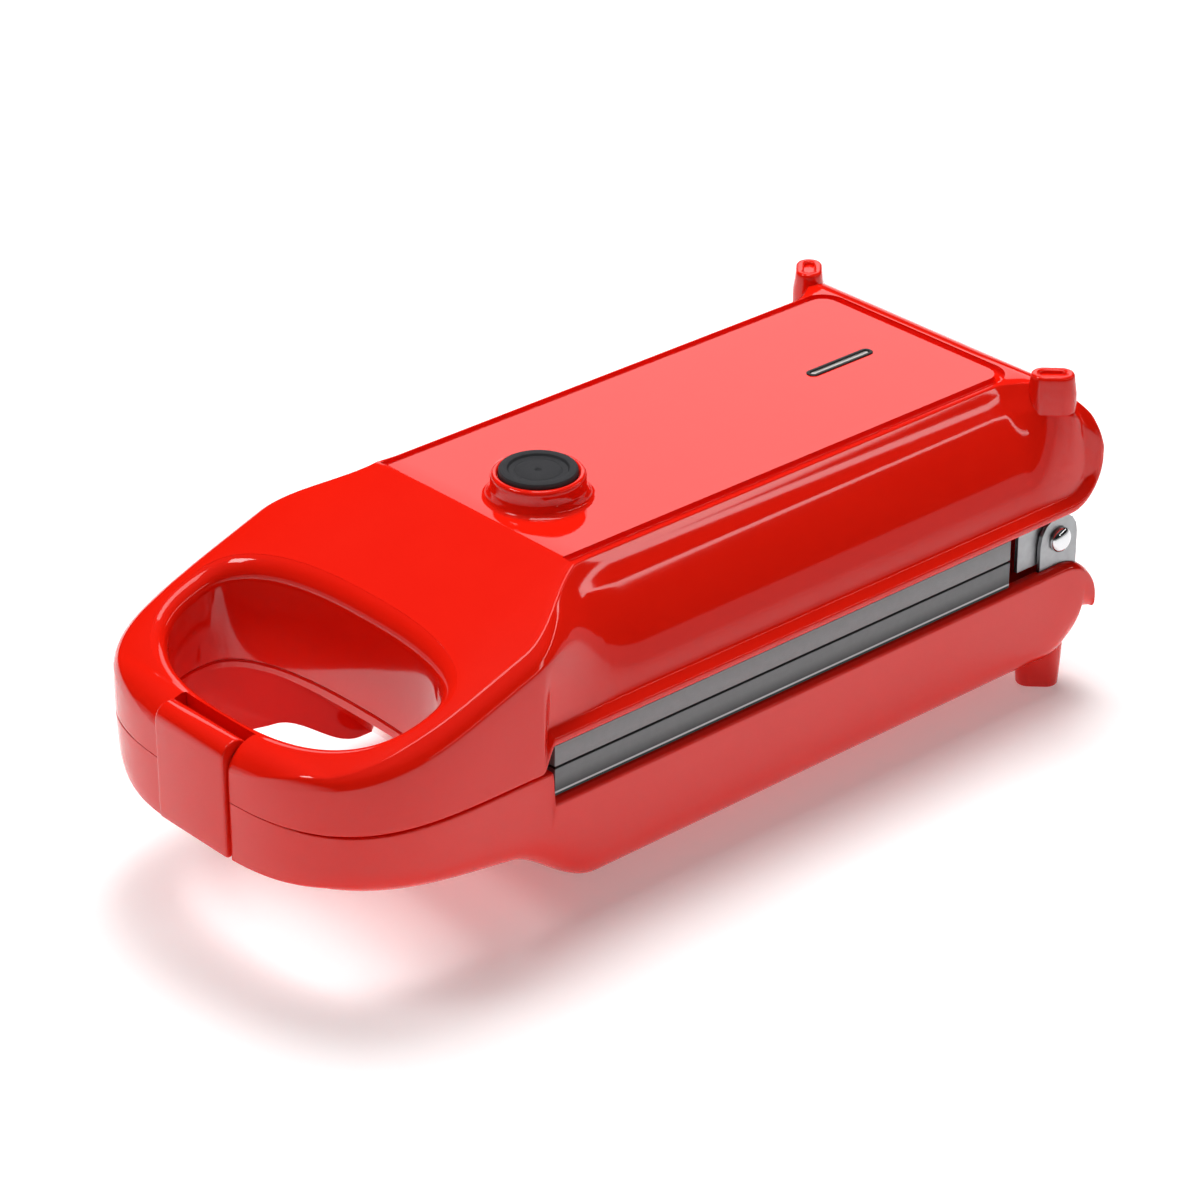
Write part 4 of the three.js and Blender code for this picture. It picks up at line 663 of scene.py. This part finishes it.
def base_half(y):
    """Corner points (x, z) of the right half of the base's section, bead first. The top step
    at the window is short, but the lower curve follows a longer one (even), so that the
    wall below it doesn't kink."""
    top, under, share = base_top(y), base_under(y), loop_share(y)
    low = ease(y, WINDOW_FRONT_Y - 1, WINDOW_FRONT_Y)
    even = top + (TUB_TOP_Z - BAR_TOP_Z) * (ease(y, -105.0, -65.0) - low)
    bead, fit = 0.2 + 1.4 * low, np.minimum(1, (even - under) / (2 * CURVE_HEIGHT))
    rim = LOOP_HALF_WIDTH + 0.3 * ease(y, WINDOW_FRONT_Y - WINDOW_CURVE, WINDOW_FRONT_Y)
    outer = 73.6 + 1.4 * ease(y, REAR_Y - 30, REAR_Y - 7)
    turn = np.linspace(0, np.pi / 2, 5)
    curve_x = (outer[:, None] - CURVE_WIDTH * fit[:, None] * (1 - np.cos(turn))) * share[:, None]
    curve_z = under[:, None] + CURVE_HEIGHT * fit[:, None] * (1 - np.sin(turn))
    edge_x = np.stack([(rim - 5) * share, (rim - 2.6 + 1.8 * (1 - low)) * share, rim * share], 1)
    edge_z = np.stack([top + bead, top + bead, top - 0.3], 1)
    return np.stack([np.concatenate([edge_x, curve_x], 1), np.concatenate([edge_z, curve_z], 1)], -1)


front = np.concatenate([np.arange(-103, -87, 2.0), np.linspace(-86, -85, 5), np.arange(-83, -58, 1.5)])
rear = np.concatenate([REAR_Y - 20 * (1 - np.sin(np.linspace(0, np.pi / 2, 30))), [171.97, 172.03]])
y = np.unique(np.concatenate([nose_places(), front, np.linspace(-56, 156, 30), rear]).round(3))
half = to_middle(rounded(base_half(y), [1.2, 1.0, 6, 5, 5, 5]))
base = skin("base_moulding", mirrored_rings(y, half))
print("base skin", len(y), "places")

# %% Tools for the base
DECK, BRACKET_X, PILLAR_TOP_Z = 2.8, 55.4, 40.7
HAND_FLARE, HAND_FLARE_HEIGHT = 9, 16


def base_hollow_tool():
    """The room inside the tub, with a ledge below the bead."""
    place = np.concatenate([np.linspace(-84, -58, 10), np.linspace(0, 158, 5), [162, 165]])
    inner = base_half(place)
    inner[:, :3, 0] = 70.5
    inner[:, 3:, 0] -= SHELL_WALL
    inner[:, 3:, 1] += SHELL_WALL
    inner[:, 0, 1] = 70
    inner[:, 1, 1] = 60
    return skin("tub_tool", mirrored_rings(place, inner))


def base_hand_tool():
    """The hand opening through the base, with soft edges above and a flared lower edge."""
    levels = [(12, lambda place: base_under(place) - 12)]
    for turn in np.radians(np.linspace(85, 0, 12)):
        margin = HAND_FLARE * (1 - np.cos(turn))
        rise = HAND_FLARE_HEIGHT * (1 - np.sin(turn))
        levels.append((margin, lambda place, rise=rise: base_under(place) + rise))
    levels += [(0, level(64.2)), (0.5, level(64.8)), (0.5, level(70))]
    return skin("hand_tool", hand_rings(levels))


def scoop_tool(margin, curve=5.0):
    """The scoop behind the hand opening: below the deck the tub's front slants back, so that
    light falls through the loop. Its outline (y, z) is carried across between the arms."""
    deck, rear = SPLIT_Z - DECK, HAND_Y + HAND_REAR_DEPTH + margin
    foot = rear + (deck + 4) * 51 / 51.2
    outline = np.array([[[HAND_Y, -4], [foot, -4], [rear, deck], [HAND_Y, deck], [HAND_Y, deck - 1]]])
    side = rounded(outline, [0.1, curve, 0.1], steps=8)[0]
    across = np.array([-HAND_HALF_WIDTH, HAND_HALF_WIDTH]) + margin * np.array([-1, 1])
    return skin("scoop_tool", np.stack([np.c_[np.full(len(side), x), side] for x in across]))


BASE_SCREWS = [(54, -44), (-54, -44), (54, 112), (-54, 112)]
RUBBER_FOOT = (34, -40)
tub = carve(base_hollow_tool(), scoop_tool(SHELL_WALL))
notch = block_tool((-NOTCH_HALF, NOTCH_HALF), (-180, -168.9), (30, 70))
tools = [tub, base_hand_tool(), scoop_tool(0), notch]
for side in (1, -1):
    pocket = sorted((side * BRACKET_X, side * 71.7))
    tools.append(block_tool(pocket, (149.9, 171.1), (PILLAR_TOP_Z, 70)))
for x, place in BASE_SCREWS:
    tools.append(turned("well_tool", [(0.2, 5), (4.0, 5), (4.0, 20), (0.2, 20)], (x, place, 0), sides=40))
for side in (1, -1):
    centre = (side * RUBBER_FOOT[0], RUBBER_FOOT[1], 0)
    tools.append(turned("seat_tool", [(0.2, 5), (9.3, 5), (9.3, 12.7), (0.2, 12.7)], centre, sides=64))
bore = [(0.2, 163), (5.1, 163), (5.1, 180), (0.2, 180)]
tools.append(turned("gland_tool", bore, (0, 0, 38.5), "Y", sides=48))
base = carve(base, *tools)
dress(base, "base", red_plastic, ["base_shell"])

# %% [markdown]
# Inside the tub, bosses take the screws and two pillars carry the hinge brackets; two more
# hang in the lid. They could be left out, but the pillars show when the lid is open and the
# bosses from below, so they are made too, as plain turned and squared pieces.

# %% Bosses, pillars and rubber feet
BOSS = [(4.0, 12), (5.2, 12), (5.5, 13), (5.5, 26.6), (5.1, 27), (1.9, 27), (1.9, 24), (4.0, 24)]
PAD = [
    (0.2, 0.6), (4, 0.6), (4.6, 0), (8.0, 0), (8.7, 0.3), (9, 1), (8.8, 5), (9, 12.1), (8.7, 12.4),
    (0.2, 12.4),
]
for i, (x, place) in enumerate(BASE_SCREWS):
    boss = turned(f"base_boss_{i + 1}", BOSS, (x, place, 0), sides=48)
    dress(boss, "base", red_plastic)
for word, side in (("right", 1), ("left", -1)):
    across = sorted((side * BRACKET_X, side * 70.4))
    pillar = soft_block(f"base_pillar_{word}", across, (150.9, 165.0), (16.5, PILLAR_TOP_Z))
    dress(pillar, "base", red_plastic)
    across = sorted((side * 54.4, side * 69.5))
    hanger = soft_block(f"lid_pillar_{word}", across, (141, 165.3), (78.3, 117))
    carve(hanger, lid_hollow_tool(), way="INTERSECT")
    dress(hanger, "lid", red_plastic)
    pad = turned(f"front_pad_{word}", PAD, (side * RUBBER_FOOT[0], RUBBER_FOOT[1], 0))
    dress(pad, "base", rubber, [f"front_foot_{word}"])

# %% [markdown]
# ## The hot plates
# Each plate is a casting with four three cornered pockets: two slices in line, each cut
# corner to corner by a ridge that seals the bread. The face is a height over a grid: how
# far a point lies inside the nearest pocket, eased down to the pocket's floor.

# %% Depth of the pockets
PLATE_RIM, HALF_DIVIDER, HALF_RIDGE = 7, 5, 3


def pocket_corners():
    """Corners of the four pockets, from the rim, the divider and the slanted ridge."""
    x = PLATE_HALF - PLATE_RIM
    front_slice = PLATE_FRONT + PLATE_RIM, PLATE_MIDDLE - HALF_DIVIDER
    rear_slice = PLATE_MIDDLE + HALF_DIVIDER, PLATE_REAR - PLATE_RIM
    made = []
    for low, high in (front_slice, rear_slice):
        slope = np.hypot(2 * x, high - low)
        dx, dy = HALF_RIDGE * slope / (high - low), HALF_RIDGE * slope / (2 * x)
        made.append([[-x + dx, low], [x, low], [x, high - dy]])
        made.append([[x - dx, high], [-x, high], [-x, low + dy]])
    return np.array(made)


def pocket_depth(x, y, depth=9.0, slant=5.0, blend=3.0):
    """For each pocket, the distance inside its nearest edge, softly the least of three:
    -blend ln(sum exp(-d / blend)); the depth is eased over the slant's width."""
    deepest = np.zeros_like(x)
    for triangle in pocket_corners():
        after = np.roll(triangle, -1, axis=0)
        inside = []
        for a, b in zip(triangle, after):
            length = np.hypot(*(b - a))
            inside.append(((b[0] - a[0]) * (y - a[1]) - (b[1] - a[1]) * (x - a[0])) / length)
        soft = -blend * np.log(sum(np.exp(-np.clip(d, -60, 60) / blend) for d in inside))
        deepest = np.maximum(deepest, depth * ease(soft, -0.6, slant))
    return deepest


print("pockets", len(pocket_corners()))

# %% The castings
EDGE_ROUND, EDGE_DROP, BODY_BELOW, THINNEST = 0.6, 0.5, 5.8, 1.0


def hot_plate(name, skirt, flip, face_z):
    """A plate as one closed skin: a face grid, the same grid below as its back, and sides.
    Rows run along Y, columns along X; both are closer together at the rims. The back lies a
    skirt below the face, and away from the rims BODY_BELOW further."""

    def steps(low, high, count):
        """Even steps between the round edges, and two more at each edge."""
        even = np.linspace(low + EDGE_ROUND, high - EDGE_ROUND, count)
        return np.unique(np.concatenate([even, [low, low + 0.2, high - 0.2, high]]))

    def inside(x_inset, y_inset):
        """How far each grid point lies inside the plate's outline, drawn in by the insets."""
        x, front, rear = PLATE_HALF - x_inset, PLATE_FRONT + y_inset, PLATE_REAR - y_inset
        return np.minimum.reduce([gx + x, x - gx, gy - front, rear - gy])

    gx, gy = np.meshgrid(steps(-PLATE_HALF, PLATE_HALF, 150), steps(PLATE_FRONT, PLATE_REAR, 220))
    edge = EDGE_DROP * (1 - curl(EDGE_ROUND - inside(0, 0), 0.0, EDGE_ROUND))
    face = -pocket_depth(gx, gy) - edge
    back = -skirt - BODY_BELOW * ease(inside(8, 5), -0.5, 0.5)
    back = np.minimum(back, face - THINNEST)
    rows, count = gx.shape
    upper = np.stack([gx, gy, face * flip + face_z], -1).reshape(-1, 3)
    lower = np.stack([gx, gy, back * flip + face_z], -1).reshape(-1, 3)
    i, j = np.meshgrid(np.arange(rows - 1), np.arange(count - 1), indexing="ij")
    a = (i * count + j).ravel()
    top = np.stack([a, a + 1, a + count + 1, a + count], 1)
    under = top[:, ::-1] + rows * count
    ring = np.concatenate([
        np.arange(count), np.arange(1, rows) * count + count - 1,
        (rows - 1) * count + np.arange(count - 2, -1, -1), np.arange(rows - 2, 0, -1) * count,
    ])
    after = np.roll(ring, -1)
    sides = np.stack([ring + rows * count, after + rows * count, after, ring], 1)
    faces = np.concatenate([top, under, sides]).tolist()
    made = mesh_piece(name, np.concatenate([upper, lower]), faces)
    turn_outward(made)
    return made


# Painted shade and highlight tones as (share of the height, grey), the two ends first.
LOWER_PAINTED_TONES = [
    (0, 0.01), (1, 0.02), (0.09, 0.01), (0.1, 0.55), (0.15, 0.5), (0.17, 0.05), (0.6, 0.2),
    (0.95, 0.26), (0.96, 0.02),
]
UPPER_PAINTED_TONES = [(0, 0.02), (1, 0.22), (0.04, 0.02), (0.05, 0.27)]
# Both coats paint shade, and the lower one also a highlight, on the plates' skirts.
lower = hot_plate("lower_casting", 10.4, 1, SPLIT_Z - GAP / 2)
lower_painted_coat = plate_coat_with_painted_light("lower_plate_painted_shade", 54.4, 64.9, LOWER_PAINTED_TONES)
dress(lower, "base", lower_painted_coat, ["lower_plate"], angle=40)
upper = hot_plate("upper_casting", 8.1, -1, SPLIT_Z + GAP / 2)
upper_painted_coat = plate_coat_with_painted_light("upper_plate_painted_shade", 65.1, 73.3, UPPER_PAINTED_TONES)
dress(upper, "lid", upper_painted_coat, ["upper_plate"], angle=40)

# %% [markdown]
# ## The clip
# The clip hangs from a pin in the loop's front and reaches down over the base. It is one
# outline, a flat tongue that ends in a roll at the top, carried across the width; the
# outlines at both ends are drawn in a little so that the edges are soft.

# %% The clip's outline carried across
PIN_Y, PIN_Z, ROLL_RADIUS, TIP_RADIUS = -172.3, 80.4, 5.7, 1.5


def clip_outline():
    """Outline (y, z): the roll's circle from its front round over the top to the back, then
    the inner face down, a small ridge, the round tip and the outer face up."""
    turn = np.radians(np.linspace(180, -62, 40))
    roll = np.c_[PIN_Y + ROLL_RADIUS * np.cos(turn), PIN_Z + ROLL_RADIUS * np.sin(turn)]
    inner = np.array([
        [-174.6, 74.2], [-175.0, 72.6], [-175.0, 52.0], [-174.7, 50.8], [-174.6, 49.5],
        [-174.9, 48.2], [-175.0, 47.4],
    ])
    tip = np.radians(np.linspace(0, -180, 14))
    end = np.c_[-176.5 + TIP_RADIUS * np.cos(tip), 45.0 + TIP_RADIUS * np.sin(tip)]
    outer = np.c_[np.full(6, -178.0), np.linspace(48, 77, 6)]
    return np.concatenate([roll, inner, end, outer])


outline = clip_outline()
across = np.array([-18.0, -17.9, -17.6, -17.1, 17.1, 17.6, 17.9, 18.0])
drawn = np.array([0.7, 0.35, 0.1, 0.0, 0.0, 0.1, 0.35, 0.7])
ahead = np.roll(outline, -1, 0) - np.roll(outline, 1, 0)
inward = np.stack([ahead[:, 1], -ahead[:, 0]], 1) / np.linalg.norm(ahead, axis=1, keepdims=True)
shape = outline[None] + inward[None] * drawn[:, None, None]
rings = np.concatenate([np.broadcast_to(across[:, None, None], (*shape.shape[:2], 1)), shape], -1)
clip = skin("clip_moulding", rings)
bore = [(0.1, -20), (1.5, -20), (1.5, 20), (0.1, 20)]
carve(clip, turned("pin_tool", bore, (0, PIN_Y, PIN_Z), "X", sides=32))
dress(clip, "clip", red_plastic, ["clip"])

# %% [markdown]
# ## Hinge bolts
# Bright domed bolts hold the lid's brackets to the base's. A dome is the one thing here
# that shows the whole room in miniature, so it gets more steps than its size suggests.

# %% Bolts
HINGE = (0, 160.5, 64)
for word, side in (("right", 1), ("left", -1)):
    dome = [(4.8 * np.cos(t), 72.3 + 2.4 * np.sin(t)) for t in np.radians(np.linspace(0, 88, 14))]
    profile = [(0.1, 61.9), (2.2, 61.9), (2.5, 62.2), (2.5, 71.7), (4.8, 71.7)] + dome
    bolt = turned(f"bolt_{word}", [(r, side * h) for r, h in profile], HINGE, "X")
    dress(bolt, "base", bright_steel, [f"hinge_bolt_{word}"], angle=50)

# %% [markdown]
# ## Carried over solids
# Brackets, screws, shields, heating elements and the electrical pieces already have their
# right shape as solids. They only need their finishes, slot by slot.

# %% Finishes for the solids
# The plate_aluminium solids take the lower coat with its painted shade and highlight.
SLOT_FINISH = {
    "steel": zinc_steel, "bright_steel": bright_steel, "shield_steel": sheet_steel,
    "heater_steel": heater_steel, "ceramic": ceramic, "black_plastic": black_plastic,
    "rubber": rubber, "lens": milky_lens, "lamp": lamp_glass,
    "red_plastic": red_plastic, "plate_aluminium": lower_painted_coat,
}
for entry in frame["record"]["subparts"]:
    solid = solids[entry["node"]]
    solid.data.materials.clear()
    solid.data.materials.append(SLOT_FINISH[entry["material_slot"]])

# %% [markdown]
# ## Floor, light and camera
# Glossy plastic shows the room more than itself. The panel mirrors one broad soft box
# behind and to the left, the walls mirror the white floor in their lower half, the dark
# room above it, and one thin strip that draws the long bright line. The rest is soft light
# from above. It could show in the plastic too, but there it whitens the rims, so it is kept
# out of reflections and a narrow, dimmer card stands in for it.

# %% Floor and room
FLOOR_REACH = 2600
HORIZON_Z, HORIZON_GLOW = 0.095, 0.45
floor_corners = FLOOR_REACH * np.array([[-1, -1, 0], [1, -1, 0], [1, 1, 0], [-1, 1, 0]])
floor = mesh_piece("floor", floor_corners, [[0, 1, 2, 3]])
floor_paper = finish(
    "floor_paper", (0.93, 0.93, 0.93), (0.92, 0.92, 0.92), (0.8, 0.9), grain=3, bump=0.0
)
floor.data.materials.append(floor_paper)
paper = floor_paper.node_tree.nodes["Principled BSDF"]
paper.inputs["Emission Color"].default_value = (1, 1, 1, 1)
paper.inputs["Emission Strength"].default_value = 0.22
room = bpy.data.worlds.new("room")
bpy.context.scene.world = room
room.use_nodes = True
nodes, links = room.node_tree.nodes, room.node_tree.links
sky, split = nodes.new("ShaderNodeTexCoord"), nodes.new("ShaderNodeSeparateXYZ")
below, both = nodes.new("ShaderNodeMath"), nodes.new("ShaderNodeMath")
ramp = nodes.new("ShaderNodeMapRange")
links.new(sky.outputs["Generated"], split.inputs["Vector"])
links.new(split.outputs["Z"], ramp.inputs["Value"])
ramp.inputs["From Min"].default_value, ramp.inputs["From Max"].default_value = 0.55, 1.0
ramp.inputs["To Min"].default_value, ramp.inputs["To Max"].default_value = 0.01, 0.12
links.new(split.outputs["Z"], below.inputs[0])
below.operation, below.inputs[1].default_value = "LESS_THAN", HORIZON_Z
links.new(below.outputs["Value"], both.inputs[0])
both.operation, both.inputs[1].default_value = "MULTIPLY_ADD", HORIZON_GLOW
links.new(ramp.outputs["Result"], both.inputs[2])
links.new(both.outputs["Value"], nodes["Background"].inputs["Strength"])
nodes["Background"].inputs["Color"].default_value = (1, 1, 1, 1)
print("floor and room ready")

# %% Soft boxes
AIM_Z = 0.07


def soft_box(name, towards, distance, width, height, radiance):
    """A rectangular lamp in a direction from the maker's middle, facing it. Its power is its
    radiance times pi times its area."""
    lamp = bpy.data.lights.new(name, "AREA")
    lamp.shape, lamp.size, lamp.size_y = "RECTANGLE", width, height
    lamp.energy = radiance * np.pi * width * height
    box = bpy.data.objects.new(name, lamp)
    direction = Vector(towards).normalized()
    box.location = Vector((0, 0, AIM_Z)) + direction * distance
    box.rotation_euler = direction.to_track_quat("Z", "Y").to_euler()
    bpy.context.scene.collection.objects.link(box)
    return box


# Name, direction, distance, width and height in metres, radiance.
soft_box("panel_card", (-0.654, 0.588, 0.476), 1.6, 1.1, 0.5, 1.45)
overhead = soft_box("overhead", (-0.25, 0.15, 1.0), 2.4, 1.5, 1.5, 7.5)
overhead.visible_glossy = False
soft_box("rim_card", (-0.12, 0.15, 1.0), 2.4, 0.7, 1.5, 3.6)
soft_box("side_strip", (0.68, 0.57, 0.46), 6.0, 9.0, 0.28, 4.2)
soft_box("front_box", (-0.3, -0.5, 0.8), 1.6, 0.4, 0.3, 10.0)
print("lamps", len(bpy.data.lights))

# %% Camera
CAMERA_PLACE, CAMERA_LOOKS = (0.9955, -0.8949, 0.7917), (-0.6544, 0.5881, -0.4756)
view = bpy.data.cameras.new("camera")
view.lens, view.sensor_width, view.sensor_fit = 130.59, 36, "AUTO"
view.clip_start, view.clip_end = 0.05, 20
camera = bpy.data.objects.new("camera", view)
camera.location = CAMERA_PLACE
camera.rotation_euler = Vector(CAMERA_LOOKS).to_track_quat("-Z", "Y").to_euler()
bpy.context.scene.collection.objects.link(camera)
bpy.context.scene.camera = camera
bpy.context.scene.view_settings.view_transform = "Standard"
print("camera at", CAMERA_PLACE)
